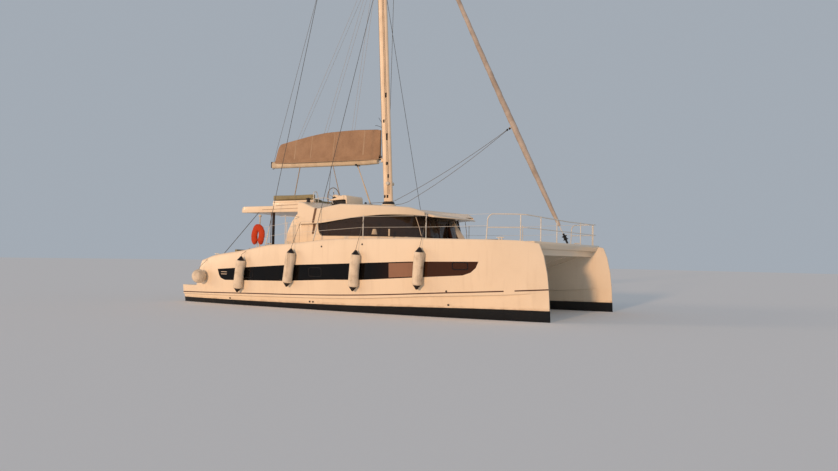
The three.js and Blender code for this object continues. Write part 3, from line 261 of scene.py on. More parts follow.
# %% Tubes, turned shapes and cutting
def rounded(corners, radius, steps=6):
    """A path through corners, each replaced by a short curve: a quadratic blend of the points one
    radius before it, itself and one radius after it."""
    corners = np.asarray(corners, float)
    before, after = corners[:-2] - corners[1:-1], corners[2:] - corners[1:-1]
    size = [np.linalg.norm(side, axis=1, keepdims=True) for side in (before, after)]
    reach = np.minimum(radius, 0.45 * np.minimum(*size))
    start, end = corners[1:-1] + before / size[0] * reach, corners[1:-1] + after / size[1] * reach
    t = np.linspace(0, 1, steps)[None, :, None]
    bends = (1 - t) ** 2 * start[:, None] + 2 * t * (1 - t) * corners[1:-1, None] + t**2 * end[:, None]
    return np.concatenate([corners[:1], bends.reshape(-1, corners.shape[1]), corners[-1:]])


def frames_along(path):
    """Two directions square to a path at each of its points, turned as little as possible."""
    heading = np.gradient(path, axis=0)
    heading /= np.linalg.norm(heading, axis=1, keepdims=True)
    side = np.cross(heading[0], [0.0, 0.0, 1.0] if abs(heading[0, 2]) < 0.9 else [1.0, 0.0, 0.0])
    sides = []
    for direction in heading:
        side = side - direction * side.dot(direction)
        side = side / np.linalg.norm(side)
        sides.append(side)
    sides = np.array(sides)
    return sides, np.cross(heading, sides)


def tube(name, path, radius, sides=10, flat=1.0):
    """A ring of points carried along a path: centre + radius (cos a side + sin a upright). 'flat'
    squeezes it towards the path, across the boat."""
    path = np.asarray(path, float)
    one, two = frames_along(path)
    angle = np.linspace(0, 2 * np.pi, sides, endpoint=False)
    radius = np.broadcast_to(radius, len(path))[:, None, None]
    ring = np.cos(angle)[None, :, None] * one[:, None] + np.sin(angle)[None, :, None] * two[:, None]
    ring = radius * ring
    ring[..., 1] *= flat
    return grid_mesh(name, path[:, None] + ring, around=True)


def line(a, b, steps=2):
    """Evenly spaced points from a to b."""
    return np.linspace(a, b, steps)


def turned(name, profile, base, axis=(0, 0, 1), sides=28):
    """A profile of (radius, height) rows turned about a line: base + height axis + radius (cos a,
    sin a) across it."""
    profile, axis = np.asarray(profile, float), np.asarray(axis, float) / np.linalg.norm(axis)
    side = np.cross(axis, [0.0, 1.0, 0.0] if abs(axis[1]) < 0.9 else [1.0, 0.0, 0.0])
    side /= np.linalg.norm(side)
    other = np.cross(axis, side)
    angle = np.linspace(0, 2 * np.pi, sides, endpoint=False)[None, :, None]
    ring = np.cos(angle) * side + np.sin(angle) * other
    grid = np.asarray(base) + profile[:, 1, None, None] * axis + profile[:, 0, None, None] * ring
    return grid_mesh(name, grid, around=True)


def slab(name, outline, depth):
    """A closed outline (n, 3) carried along the vector 'depth'."""
    outline = np.asarray(outline, float)
    return grid_mesh(name, np.stack([outline, outline + np.asarray(depth, float)]), around=True)


def block(name, low, high, soft=0.0, steps=3):
    """A box between two corners, with its edges rounded by 'soft'."""
    low, high = np.asarray(low, float), np.asarray(high, float)
    x, y, z = zip(low, high)
    base = [(x[0], y[0], z[0]), (x[1], y[0], z[0]), (x[1], y[1], z[0]), (x[0], y[1], z[0])]
    mesh = slab(name, base, (0, 0, z[1] - z[0]))
    return soften(mesh, soft, steps) if soft else mesh


def soften(mesh, width, steps=3, angle=30):
    """Rounds a mesh's sharp edges with a bevel, after flat faces are merged into one."""
    work = bmesh.new()
    work.from_mesh(mesh)
    bmesh.ops.remove_doubles(work, verts=work.verts, dist=2e-5)
    bmesh.ops.dissolve_limit(work, angle_limit=math.radians(1.0), verts=work.verts, edges=work.edges)
    edges = [e for e in work.edges if e.is_manifold and e.calc_face_angle(0.0) > math.radians(angle)]
    bmesh.ops.bevel(work, geom=edges, offset=width, segments=steps, profile=0.5, affect="EDGES",
                    clamp_overlap=True)
    work.to_mesh(mesh)
    work.free()
    return mesh


def copy_of(node, width=0.0):
    """A welded copy of a CAD node's mesh, its edges softened where a width is given."""
    mesh = nodes[node].data.copy()
    work = bmesh.new()
    work.from_mesh(mesh)
    bmesh.ops.remove_doubles(work, verts=work.verts, dist=2e-5)
    work.to_mesh(mesh)
    work.free()
    return soften(mesh, width) if width else mesh


def cut(mesh, cutters, operation="DIFFERENCE"):
    """Takes the cutters' meshes away from a mesh, or keeps what is common, with an exact boolean."""
    body = bpy.data.objects.new("being cut", mesh)
    bpy.context.scene.collection.objects.link(body)
    tools = []
    for each in cutters:
        tool = bpy.data.objects.new("cutter", each)
        bpy.context.scene.collection.objects.link(tool)
        tools.append(tool)
        modifier = body.modifiers.new("cut", "BOOLEAN")
        modifier.operation, modifier.solver, modifier.object = operation, "EXACT", tool
    done = bpy.data.meshes.new_from_object(body.evaluated_get(bpy.context.evaluated_depsgraph_get()))
    for each in (body, *tools):
        bpy.data.objects.remove(each)
    return done


def ball(name, centre, radius, sides=20):
    """A ball as a half circle turned about an upright line."""
    a = np.linspace(-np.pi / 2, np.pi / 2, sides // 2 + 1)
    return turned(name, np.stack([radius * np.cos(a), radius * np.sin(a)], -1), centre, sides=sides)


floor = bpy.data.objects.new("floor", mesh_from("floor", np.array(
    [(-150.0, -150.0, 0.0), (150.0, -150.0, 0.0), (150.0, 150.0, 0.0),
     (-150.0, 150.0, 0.0)]), np.array([[0, 1, 2, 3]])))
bpy.context.scene.collection.objects.link(floor)
print("floor at Z = 0")

# %% [markdown]
# ## Finishes
# Paint, cloth, steel and teak all carry small changes of colour and gloss. Effects that several
# finishes share are shader groups: salt and grime on paint, the weave of cloth, the grain of brushed
# metal, the moulded grip of a deck. A group gives out colours, roughness and heights that vary over
# the surface, and each finish keeps its own shader, with its plain numbers on the shader's sockets.

# %% Helpers for shader nodes
def paint(red, green, blue):
    """A colour given as it looks on a screen, 0 to 255, as the linear values that light needs."""
    return (*[(c / 255) ** 2.2 for c in (red, green, blue)], 1.0)


def node(tree, kind, inputs=None, **settings):
    """Adds a node; each input is either a value or a socket to link from."""
    made = tree.nodes.new("ShaderNode" + kind)
    for key, value in settings.items():
        setattr(made, key, value)
    for key, value in (inputs or {}).items():
        if isinstance(value, bpy.types.NodeSocket):
            tree.links.new(value, made.inputs[key])
        else:
            made.inputs[key].default_value = value
    return made


def calc(tree, operation, *values, limit=False):
    """One arithmetic step, as a socket."""
    return node(tree, "Math", dict(enumerate(values)), operation=operation, use_clamp=limit).outputs[0]


def spread(tree, value, low, high, start=0.0, end=1.0):
    """A value between low and high, brought smoothly to lie between start and end."""
    inputs = {"Value": value, "From Min": low, "From Max": high, "To Min": start, "To Max": end}
    return node(tree, "MapRange", inputs, interpolation_type="SMOOTHSTEP").outputs[0]


def mix(tree, share, first, second):
    """A colour between two."""
    return node(tree, "MixRGB", {"Fac": share, "Color1": first, "Color2": second}).outputs[0]


def noise(tree, place, scale, detail=3.0, roughness=0.55):
    """Cloudy noise, about 0.5 on average."""
    inputs = {"Vector": place, "Scale": scale, "Detail": detail, "Roughness": roughness}
    return node(tree, "TexNoise", inputs).outputs[0]


def stretched(tree, place, scale):
    """The same place with each direction stretched on its own."""
    return node(tree, "Mapping", {"Vector": place, "Scale": scale}).outputs[0]


def object_place(tree):
    return node(tree, "TexCoord").outputs["Object"]


def shader_group(name, inputs, outputs):
    """An empty group with named sockets. An input's start value tells its kind: four numbers are a
    colour, three a place and one a number."""
    tree = bpy.data.node_groups.new(name, "ShaderNodeTree")
    for label, value in inputs.items():
        kind = {4: "Color", 3: "Vector"}.get(len(value) if isinstance(value, tuple) else 1, "Float")
        socket = tree.interface.new_socket(label, in_out="INPUT", socket_type="NodeSocket" + kind)
        socket.default_value = value
    for label in outputs:
        kind = "Color" if "olour" in label else "Float"
        tree.interface.new_socket(label, in_out="OUTPUT", socket_type="NodeSocket" + kind)
    return tree, tree.nodes.new("NodeGroupInput").outputs, tree.nodes.new("NodeGroupOutput").inputs


def use(tree, group, **inputs):
    """Places a group in a material; an input's name is written with _ for a space."""
    made = node(tree, "Group", node_tree=group)
    for key, value in inputs.items():
        socket = made.inputs[key.replace("_", " ")]
        if isinstance(value, bpy.types.NodeSocket):
            tree.links.new(value, socket)
        else:
            socket.default_value = value
    return made.outputs


def finish(name, slot, **plain):
    """A material with one shader, whose plain numbers are set on its own sockets."""
    material = bpy.data.materials.new(name)
    material.use_nodes = True
    shader = material.node_tree.nodes["Principled BSDF"]
    for label, value in plain.items():
        shader.inputs[label.replace("_", " ")].default_value = value
    return material, material.node_tree, shader


def feed(tree, shader, colour=None, roughness=None, height=None, relief=0.001):
    """Links what varies over the surface to the shader; height goes through a Bump node."""
    for label, value in (("Base Color", colour), ("Roughness", roughness)):
        if value is not None:
            tree.links.new(value, shader.inputs[label])
    if height is not None:
        bump = node(tree, "Bump", {"Height": height, "Distance": relief, "Strength": 1.0})
        tree.links.new(bump.outputs[0], shader.inputs["Normal"])


print("node helpers ready")

# %% [markdown]
# Salt, rain and hands leave paint in soft patches and in streaks that run down. Cloth is threads that
# go over and under each other. Brushed metal and teak have lines that run one way. Deck grip is a
# raised diamond pattern, wanted only where a surface faces up.

# %% Shared effects
WEATHER, use_in, give = shader_group(
    "weather on paint",
    {"Clean": (0.8, 0.8, 0.8, 1.0), "Grime": (0.3, 0.25, 0.2, 1.0), "Patches": 0.3, "Streaks": 0.3,
     "Patch size": 0.8, "Gloss": 0.25},
    ("Colour", "Roughness", "Height"))
place = object_place(WEATHER)
patch = noise(WEATHER, place, calc(WEATHER, "DIVIDE", 1.0, use_in["Patch size"]), 5.0)
patch = spread(WEATHER, patch, 0.40, 0.80)
streak = spread(WEATHER, noise(WEATHER, stretched(WEATHER, place, (7.0, 7.0, 0.5)), 1.0, 4.0), 0.50, 0.78)
speck = noise(WEATHER, place, 45.0, 4.0)
worn = calc(WEATHER, "MULTIPLY_ADD", patch, use_in["Patches"],
            calc(WEATHER, "MULTIPLY", streak, use_in["Streaks"]), limit=True)
worn = calc(WEATHER, "MULTIPLY", worn, spread(WEATHER, speck, 0.25, 0.75, 0.7, 1.2), limit=True)
WEATHER.links.new(mix(WEATHER, worn, use_in["Clean"], use_in["Grime"]), give["Colour"])
WEATHER.links.new(calc(WEATHER, "MULTIPLY_ADD", worn, 0.35,
                       calc(WEATHER, "MULTIPLY_ADD", speck, 0.06, use_in["Gloss"])),
                  give["Roughness"])
WEATHER.links.new(calc(WEATHER, "MULTIPLY_ADD", noise(WEATHER, place, 3.0, 2.0), 4.0, speck),
                  give["Height"])

WEAVE, use_in, give = shader_group(
    "weave", {"Place": (0.0, 0.0, 0.0), "Thread": (0.5, 0.4, 0.3, 1.0), "Gap": (0.2, 0.15, 0.1, 1.0),
              "Thread width": 0.004, "Fading": 0.3}, ("Colour", "Roughness", "Height"))
turns = calc(WEAVE, "DIVIDE", math.pi, use_in["Thread width"])
wave = [calc(WEAVE, "SINE", calc(WEAVE, "MULTIPLY", part, turns))
        for part in node(WEAVE, "SeparateXYZ", {"Vector": use_in["Place"]}).outputs]
crossing = calc(WEAVE, "ADD",
                calc(WEAVE, "ADD", calc(WEAVE, "MULTIPLY", wave[0], wave[1]),
                     calc(WEAVE, "MULTIPLY", wave[1], wave[2])),
                calc(WEAVE, "MULTIPLY", wave[0], wave[2]))
raised = spread(WEAVE, crossing, -1.0, 1.0)
faded = noise(WEAVE, use_in["Place"], 1.6, 6.0, 0.65)
soil = noise(WEAVE, use_in["Place"], 14.0, 4.0)
# Where a thread dips under the next one, its colour goes towards the Shade colour: painted shade between the
# threads. The faded and soiled patches are real wear.
dark = calc(WEAVE, "MULTIPLY_ADD", calc(WEAVE, "SUBTRACT", 1.0, raised), 0.35,
            calc(WEAVE, "MULTIPLY", spread(WEAVE, faded, 0.35, 0.7), use_in["Fading"]), limit=True)
dark = calc(WEAVE, "MULTIPLY_ADD", soil, 0.12, dark, limit=True)
WEAVE.links.new(mix(WEAVE, dark, use_in["Thread"], use_in["Gap"]), give["Colour"])
WEAVE.links.new(spread(WEAVE, soil, 0.2, 0.8, 0.8, 0.97), give["Roughness"])
WEAVE.links.new(calc(WEAVE, "MULTIPLY_ADD", faded, 1.5, raised), give["Height"])

GRAIN, use_in, give = shader_group(
    "grain", {"Place": (0.0, 0.0, 0.0), "Light": (0.8, 0.8, 0.8, 1.0), "Dark": (0.5, 0.5, 0.5, 1.0),
              "Fineness": 1.0, "Strength": 0.5, "Gloss": 0.25}, ("Colour", "Roughness", "Height"))
fine = calc(GRAIN, "MULTIPLY", use_in["Fineness"], 26.0)
fibre = noise(GRAIN, use_in["Place"], fine, 6.0, 0.6)
cloud = noise(GRAIN, use_in["Place"], calc(GRAIN, "MULTIPLY", use_in["Fineness"], 2.1), 2.0)
share = calc(GRAIN, "MULTIPLY", calc(GRAIN, "MULTIPLY_ADD", cloud, 0.6, spread(GRAIN, fibre, 0.35, 0.7)),
             use_in["Strength"], limit=True)
GRAIN.links.new(mix(GRAIN, share, use_in["Light"], use_in["Dark"]), give["Colour"])
GRAIN.links.new(calc(GRAIN, "MULTIPLY_ADD", share, 0.25, use_in["Gloss"]), give["Roughness"])
GRAIN.links.new(fibre, give["Height"])

GRIP, use_in, give = shader_group("deck grip", {"Pitch": 0.012}, ("Facing up", "Height"))
place = object_place(GRIP)
turns = calc(GRIP, "DIVIDE", math.pi, use_in["Pitch"])
flat = node(GRIP, "SeparateXYZ", {"Vector": place}).outputs
slant = [calc(GRIP, "SINE", calc(GRIP, "MULTIPLY", calc(GRIP, how, flat[0], flat[1]), turns))
         for how in ("ADD", "SUBTRACT")]
facing = node(GRIP, "SeparateXYZ", {"Vector": node(GRIP, "NewGeometry").outputs["Normal"]}).outputs["Z"]
facing = spread(GRIP, facing, 0.955, 0.985)
GRIP.links.new(facing, give["Facing up"])
GRIP.links.new(calc(GRIP, "MULTIPLY", facing, calc(GRIP, "MULTIPLY", slant[0], slant[1])), give["Height"])
print("shared effects:", [tree.name for tree in bpy.data.node_groups])

# %% [markdown]
# Gelcoat is the glossy outer skin of a glass fibre boat: a warm white, clear-coated look that turns
# chalky where rain has run down it. The decks have grip moulded in, so the same finish adds it
# wherever the surface faces up. The spars and the inside of the cabin get painted finishes of their own.

# %% Painted finishes
GELCOAT_WHITE, GELCOAT_WORN = paint(236, 217, 190), paint(176, 150, 118)


def painted(name, slot, clean, grime, patches, streaks, gloss, patch_size=0.8, grip=0.0, **plain):
    """Weathered paint. 'grip' is the height of the deck pattern, in metres."""
    material, tree, shader = finish(name, slot, **plain)
    worn = use(tree, WEATHER, Clean=clean, Grime=grime, Patches=patches, Streaks=streaks,
               Patch_size=patch_size, Gloss=gloss)
    colour, rough, height = worn["Colour"], worn["Roughness"], worn["Height"]
    if grip:
        deck = use(tree, GRIP)
        darker = node(tree, "HueSaturation",
                      {"Color": colour, "Value": 0.88, "Saturation": 0.75}).outputs[0]
        colour = mix(tree, deck["Facing up"], colour, darker)
        rough = calc(tree, "MULTIPLY_ADD", deck["Facing up"], 0.35, rough, limit=True)
        height = calc(tree, "MULTIPLY_ADD", deck["Height"], 2.0, height)
    feed(tree, shader, colour, rough, height, 0.0004 if not grip else grip)
    return material


gelcoat = painted("gelcoat", "gelcoat", GELCOAT_WHITE, GELCOAT_WORN, 0.14, 0.10, 0.34, Coat_Weight=0.2,
                  Coat_Roughness=0.35)
deck_gelcoat = painted("deck_gelcoat", "gelcoat", GELCOAT_WHITE, GELCOAT_WORN, 0.16, 0.08, 0.20,
                       grip=0.0006)
cabin_lining = painted("cabin_lining", "gelcoat", paint(196, 178, 152), paint(120, 100, 80), 0.25, 0.1,
                       0.45)
spar_paint = painted("spar_paint", "spar", paint(238, 214, 184), paint(160, 134, 104), 0.30, 0.4, 0.30, 0.5)
boom_paint = painted("boom_paint", "spar", paint(206, 188, 160), paint(126, 108, 88), 0.40, 0.25, 0.34,
                     0.35)
black_paint = painted("black_fitting", "steel", paint(34, 30, 28), paint(84, 78, 70), 0.35, 0.15, 0.42)
groove_shadow = painted("groove_shadow", "gelcoat", paint(132, 98, 76), paint(90, 66, 50), 0.3, 0.2, 0.6)
dark_post = painted("dark_post", "gelcoat", paint(46, 34, 28), paint(92, 74, 60), 0.35, 0.25, 0.40)
visor_dark_strip = painted("visor_dark_strip", "steel", paint(110, 84, 66), paint(70, 50, 38), 0.5, 0.4, 0.62, 0.2)
wheel_leather = painted("wheel_leather", "steel", paint(150, 138, 124), paint(92, 80, 68), 0.4, 0.1, 0.5,
                        0.05)
bottom_paint = painted("bottom_paint", "antifoul", paint(15, 12, 12), paint(58, 62, 48), 0.45, 0.3, 0.72,
                       0.3)
engine_paint = painted("engine_enamel", "engine", paint(168, 174, 178), paint(60, 58, 56), 0.5, 0.5, 0.38,
                       0.12)
vinyl = painted("fender_vinyl", "fender", paint(228, 212, 188), paint(128, 108, 84), 0.45, 0.55, 0.38, 0.22,
                Specular_IOR_Level=0.4)
vinyl_end = painted("fender_end", "fender", paint(20, 13, 12), paint(56, 44, 38), 0.3, 0.2, 0.5, 0.1)

# %% [markdown]
# The hull shows four bands from the keel up: black bottom paint, a thin stain where the water laps,
# glossy topsides, and a fine brown stripe that rises towards the bow. Their edges follow the hull and
# not a level plane, so two Float Curves turn the distance along the boat into a height.

# %% The hull's finish
HALF_LENGTH, CURVE_TOP = 6.5, 1.0
BOOT_TOP = [(-6.5, 0.15), (0.3, 0.19), (2.67, 0.245), (4.79, 0.285), (6.5, 0.29)]
STRIPE = [(-6.5, 0.32), (-3.6, 0.38), (0.3, 0.48), (3.8, 0.68), (5.3, 0.77), (6.5, 0.85)]
STRIPE_HALF = 0.018
STRIPE_GAP = (5.23, 5.51)


def height_along(tree, share, points):
    """The height that belongs to a distance along the boat, from a curve through (x, z) points."""
    curve = node(tree, "FloatCurve", {"Value": share})
    dots = curve.mapping.curves[0].points
    while len(dots) < len(points):
        dots.new(0.5, 0.5)
    for dot, (x, z) in zip(dots, points):
        dot.location = ((x + HALF_LENGTH) / (2 * HALF_LENGTH), z / CURVE_TOP)
    curve.mapping.update()
    return curve.outputs[0]


hull_paint, tree, shader = finish("hull_paint", "gelcoat", Coat_Roughness=0.35, Coat_Weight=0.2)
where = node(tree, "SeparateXYZ", {"Vector": object_place(tree)}).outputs
share = calc(tree, "DIVIDE", calc(tree, "ADD", where["X"], HALF_LENGTH), 2 * HALF_LENGTH)
above = calc(tree, "SUBTRACT", where["Z"], height_along(tree, share, BOOT_TOP))
above = calc(tree, "MULTIPLY_ADD", noise(tree, object_place(tree), 6.0, 3.0), 0.008, above)
from_stripe = calc(tree, "ABSOLUTE", calc(tree, "SUBTRACT", where["Z"], height_along(tree, share, STRIPE)))
dry = spread(tree, above, 0.001, 0.009)
top = use(tree, WEATHER, Clean=GELCOAT_WHITE, Grime=GELCOAT_WORN, Patches=0.14, Streaks=0.12,
          Patch_size=1.1, Gloss=0.34)
wet = use(tree, WEATHER, Clean=paint(8, 5, 4), Grime=paint(28, 22, 16), Patches=0.3, Streaks=0.3,
          Patch_size=0.3, Gloss=0.6)
lapped = calc(tree, "MULTIPLY", spread(tree, above, 0.0, 0.10, 1.0, 0.0),
              spread(tree, noise(tree, stretched(tree, object_place(tree), (2, 2, 5)), 2.0, 5.0), 0.35, 0.7,
                     0.05, 0.45))
colour = mix(tree, lapped, top["Colour"], paint(150, 112, 70))
gap = calc(tree, "MULTIPLY", calc(tree, "GREATER_THAN", where["X"], STRIPE_GAP[0]),
           calc(tree, "LESS_THAN", where["X"], STRIPE_GAP[1]))
striped = calc(tree, "MULTIPLY", spread(tree, from_stripe, STRIPE_HALF - 0.003, STRIPE_HALF, 1.0, 0.0),
               calc(tree, "SUBTRACT", 1.0, gap))
striped = calc(tree, "MULTIPLY", striped,
               calc(tree, "GREATER_THAN", calc(tree, "ABSOLUTE", where["Y"]), 2.72))
colour = mix(tree, striped, colour, paint(74, 40, 24))
deck = use(tree, GRIP)
on_deck = calc(tree, "MULTIPLY", deck["Facing up"], spread(tree, where["Z"], 0.9, 1.0))
colour = mix(tree, calc(tree, "MULTIPLY", on_deck, 0.5), colour, paint(196, 182, 158))
colour = mix(tree, dry, wet["Colour"], colour)
rough = node(tree, "Mix", {0: dry, 2: wet["Roughness"],
                           3: calc(tree, "MULTIPLY_ADD", on_deck, 0.35, top["Roughness"],
                                   limit=True)}).outputs[0]
feed(tree, shader, colour, rough, calc(tree, "MULTIPLY_ADD", deck["Height"], 2.0, top["Height"]), 0.0005)
print("hull bands at the bow:", BOOT_TOP[-1], STRIPE[-1])

# %% [markdown]
# Round the front windows the deckhouse is faced with dark acrylic, so its finish changes from white
# gelcoat to near black ahead of the side windows and above the sill. Two comparisons make that mask.

# %% The deckhouse's finish
FACING_X, FACING_Z = 1.50, 2.215
house_paint, tree, shader = finish("house_paint", "gelcoat", Coat_Roughness=0.30, Coat_Weight=0.2)
where = node(tree, "SeparateXYZ", {"Vector": object_place(tree)}).outputs
faced = calc(tree, "MULTIPLY", calc(tree, "GREATER_THAN", where["X"], FACING_X),
             calc(tree, "GREATER_THAN", where["Z"], FACING_Z))
white = use(tree, WEATHER, Clean=GELCOAT_WHITE, Grime=GELCOAT_WORN, Patches=0.14, Streaks=0.12,
            Patch_size=1.1, Gloss=0.14)
acrylic = use(tree, WEATHER, Clean=paint(40, 26, 20), Grime=paint(84, 60, 48), Patches=0.2, Streaks=0.1,
              Patch_size=0.5, Gloss=0.08)
feed(tree, shader, mix(tree, faced, white["Colour"], acrylic["Colour"]),
     node(tree, "Mix", {0: faced, 2: white["Roughness"], 3: acrylic["Roughness"]}).outputs[0],
     white["Height"], 0.0005)
print("dark facing from x", FACING_X, "and z", FACING_Z)

# %% [markdown]
# Tinted glass looks almost black from outside, because far less light comes back out of the cabin
# than strikes the pane. A faint brown tint with transmission lets the furniture show a little. Metals
# are told apart by colour and grain, cloth by weave, and ropes by the twist of their strands.

# %% Glass, metal, cloth, teak and rope
def glass(name, tint, haze, through):
    material, tree, shader = finish(name, "glazing", Transmission_Weight=through, IOR=1.45,
                                    Specular_IOR_Level=0.4)
    film = use(tree, WEATHER, Clean=tint, Grime=paint(96, 84, 72), Patches=haze, Streaks=haze,
               Patch_size=0.5, Gloss=0.03)
    feed(tree, shader, film["Colour"], film["Roughness"])
    return material


def grained(name, slot, light, dark, stretch, fineness, strength, gloss, relief, **plain):
    """A finish whose lines run along the direction that is stretched least."""
    material, tree, shader = finish(name, slot, **plain)
    lines = use(tree, GRAIN, Place=stretched(tree, object_place(tree), stretch), Light=light, Dark=dark,
                Fineness=fineness, Strength=strength, Gloss=gloss)
    feed(tree, shader, lines["Colour"], lines["Roughness"], lines["Height"], relief)
    return material


def woven(name, slot, thread, gap, width, fading, relief, on_uv=False, **plain):
    material, tree, shader = finish(name, slot, **plain)
    place = node(tree, "TexCoord").outputs["UV" if on_uv else "Object"]
    cloth = use(tree, WEAVE, Place=place, Thread=thread, Gap=gap, Thread_width=width, Fading=fading)
    feed(tree, shader, cloth["Colour"], cloth["Roughness"], cloth["Height"], relief)
    return material


def rope_finish(name, slot, strand, groove_shade, fleck, twist=0.022):
    """Strands lie at an angle: the strand colour and a darker groove colour, a painted shade between the
    strands, follow the sum of the way along and the way round.
    """
    material, tree, shader = finish(name, slot, Sheen_Weight=0.15)
    uv = node(tree, "SeparateXYZ", {"Vector": node(tree, "TexCoord").outputs["UV"]}).outputs
    angle = calc(tree, "MULTIPLY", calc(tree, "ADD", uv["X"], uv["Y"]), 2 * math.pi / twist)
    ridge = spread(tree, calc(tree, "SINE", angle), -1.0, 1.0)
    spot = spread(tree, noise(tree, node(tree, "TexCoord").outputs["UV"], 90.0, 2.0), 0.58, 0.62)
    colour = mix(tree, calc(tree, "MULTIPLY", spot, 0.6), mix(tree, ridge, groove_shade, strand), fleck)
    feed(tree, shader, colour, spread(tree, ridge, 0.0, 1.0, 0.92, 0.75), ridge, 0.002)
    return material


cabin_glass = glass("cabin_glass", paint(112, 92, 78), 0.10, 0.80)
hull_glass, tree, shader = finish("hull_glass", "glazing", Transmission_Weight=0.08, IOR=1.45,
                                  Specular_IOR_Level=0.3)
along = node(tree, "SeparateXYZ", {"Vector": object_place(tree)}).outputs["X"]
tint = mix(tree, spread(tree, along, 1.2, 3.4), paint(9, 6, 5), paint(66, 42, 28))
film = use(tree, WEATHER, Clean=tint, Grime=paint(70, 58, 48), Patches=0.05, Streaks=0.05, Patch_size=0.5,
           Gloss=0.03)
feed(tree, shader, film["Colour"], film["Roughness"])
hull_pane_lit = glass("hull_pane_lit", paint(150, 112, 90), 0.2, 0.10)
pane_seal = painted("pane_seal", "glazing", paint(14, 9, 8), paint(34, 26, 22), 0.3, 0.2, 0.6)
# The stainless steel is near white and only partly metallic: a painted sheen standing in for the glints that
# the key lamp doesn't give.
steel = grained("stainless_painted_sheen", "steel", paint(240, 232, 218), paint(196, 184, 168), (1, 1, 0.2), 1.0, 0.4,
                0.30, 0.0002, Metallic=0.35)
rigging_wire = grained("rigging_wire", "steel", paint(150, 140, 128), paint(70, 64, 58), (1, 1, 0.3), 4.0,
                       0.8, 0.3, 0.0005, Metallic=0.8)
bronze = grained("bronze", "bronze", paint(170, 134, 82), paint(84, 88, 66), (1, 1, 1), 0.4, 0.8, 0.34,
                 0.0005, Metallic=0.9)
teak = grained("teak", "wood", paint(176, 128, 82), paint(98, 64, 38), (0.12, 1, 1), 1.2, 0.8, 0.42, 0.0004)
lit_cabin_panel = grained("lit_cabin_panel", "wood", paint(206, 112, 84), paint(150, 72, 52), (0.15, 1, 0.6), 0.8,
                      0.6, 0.35, 0.0003)
cabin_wood = grained("cabin_wood", "wood", paint(140, 92, 60), paint(74, 44, 28), (0.15, 1, 0.6), 0.8, 0.8,
                     0.35, 0.0003)
sail_canvas = woven("sail_canvas", "canvas", paint(174, 142, 114), paint(106, 80, 60), 0.006, 0.26, 0.0008,
                    True, Sheen_Weight=0.12)
sail_roll_cloth = woven("sail_roll_cloth", "canvas", paint(196, 184, 172), paint(132, 118, 106), 0.006, 0.5,
                        0.0006, True)
seam_tape = woven("seam_tape", "canvas", paint(186, 160, 134), paint(120, 96, 76), 0.004, 0.25, 0.0006,
                  True)
dark_canvas = woven("dark_canvas", "canvas", paint(112, 84, 66), paint(62, 46, 36), 0.005, 0.35, 0.0008,
                    True)
seat_cloth = woven("seat_cloth", "cushion", paint(160, 150, 116), paint(92, 84, 60), 0.0035, 0.30, 0.0006,
                   Sheen_Weight=0.1)
seat_piping = woven("seat_piping", "cushion", paint(176, 168, 136), paint(104, 96, 72), 0.003, 0.2, 0.0004)
buoy_cloth = woven("buoy_cloth", "buoy", paint(206, 74, 36), paint(124, 36, 16), 0.004, 0.35, 0.0006)
tape_white = woven("reflective_tape", "buoy", paint(226, 210, 190), paint(160, 140, 118), 0.003, 0.2,
                   0.0004)
pale_rope = rope_finish("pale_rope", "canvas", paint(206, 186, 156), paint(120, 100, 78), paint(90, 80, 70))
grey_rope = rope_finish("grey_rope", "canvas", paint(140, 130, 116), paint(72, 64, 56), paint(40, 40, 44))

# %% [markdown]
# ## The two hulls
# A hull is a loft: its cross-section changes steadily from the stern to the stem. Naval architects
# draw a few long lines for the keel, the knuckle just above the water and the deck edge, and every
# section hangs between them. Curves through a handful of measured points give these lines, and one
# formula fills the hull in between. The frame's boxes and window band are then cut out of it.

# %% The lines of a hull
KEEL = [(-6.40, -0.06), (-5.75, -0.17), (-4.0, -0.36), (-2.0, -0.50), (0.0, -0.56), (3.2, -0.53),
        (5.0, -0.44), (6.0, -0.34), (6.4, -0.23)]
KNUCKLE = [(-6.40, 0.265), (-3.6, 0.31), (0.3, 0.39), (3.1, 0.56), (5.3, 0.68), (6.4, 0.775)]
SHEER = [(-6.40, 1.30), (-5.43, 1.41), (-4.89, 1.56), (-3.60, 1.73), (-2.40, 1.92), (-1.80, 1.95),
         (0.25, 2.11),
         (2.30, 2.13), (4.20, 2.12), (5.60, 2.105), (6.0, 2.085), (6.4, 2.02)]
STEM = [(-0.34, 6.12), (-0.23, 6.26), (-0.10, 6.36), (0.0, 6.40), (0.28, 6.39), (0.78, 6.36), (1.31, 6.30),
        (1.70, 6.21), (2.02, 6.08)]
BOW, RAKE_START, HULL_AXIS = 6.40, 3.20, 2.72
WIDE, NARROW = 0.022, 0.28


def fair(points, x):
    """A smooth line through points: a cubic between each pair, whose slope at a point is the mean of
    the slopes on both sides of it, or level where those two have opposite signs."""
    px, py = np.asarray(points, float).T
    slope = np.diff(py) / np.diff(px)
    same = slope[:-1] * slope[1:] > 0
    middle = np.where(same, 2 * slope[:-1] * slope[1:] / np.where(same, slope[:-1] + slope[1:], 1.0), 0.0)
    tangent = np.concatenate([slope[:1], middle, slope[-1:]])
    x = np.clip(x, px[0], px[-1])
    i = np.clip(np.searchsorted(px, x) - 1, 0, len(px) - 2)
    h = px[i + 1] - px[i]
    t = (x - px[i]) / h
    return ((2 * t**3 - 3 * t**2 + 1) * py[i] + (t**3 - 2 * t**2 + t) * h * tangent[i]
            + (3 * t**2 - 2 * t**3) * py[i + 1] + (t**3 - t**2) * h * tangent[i + 1])


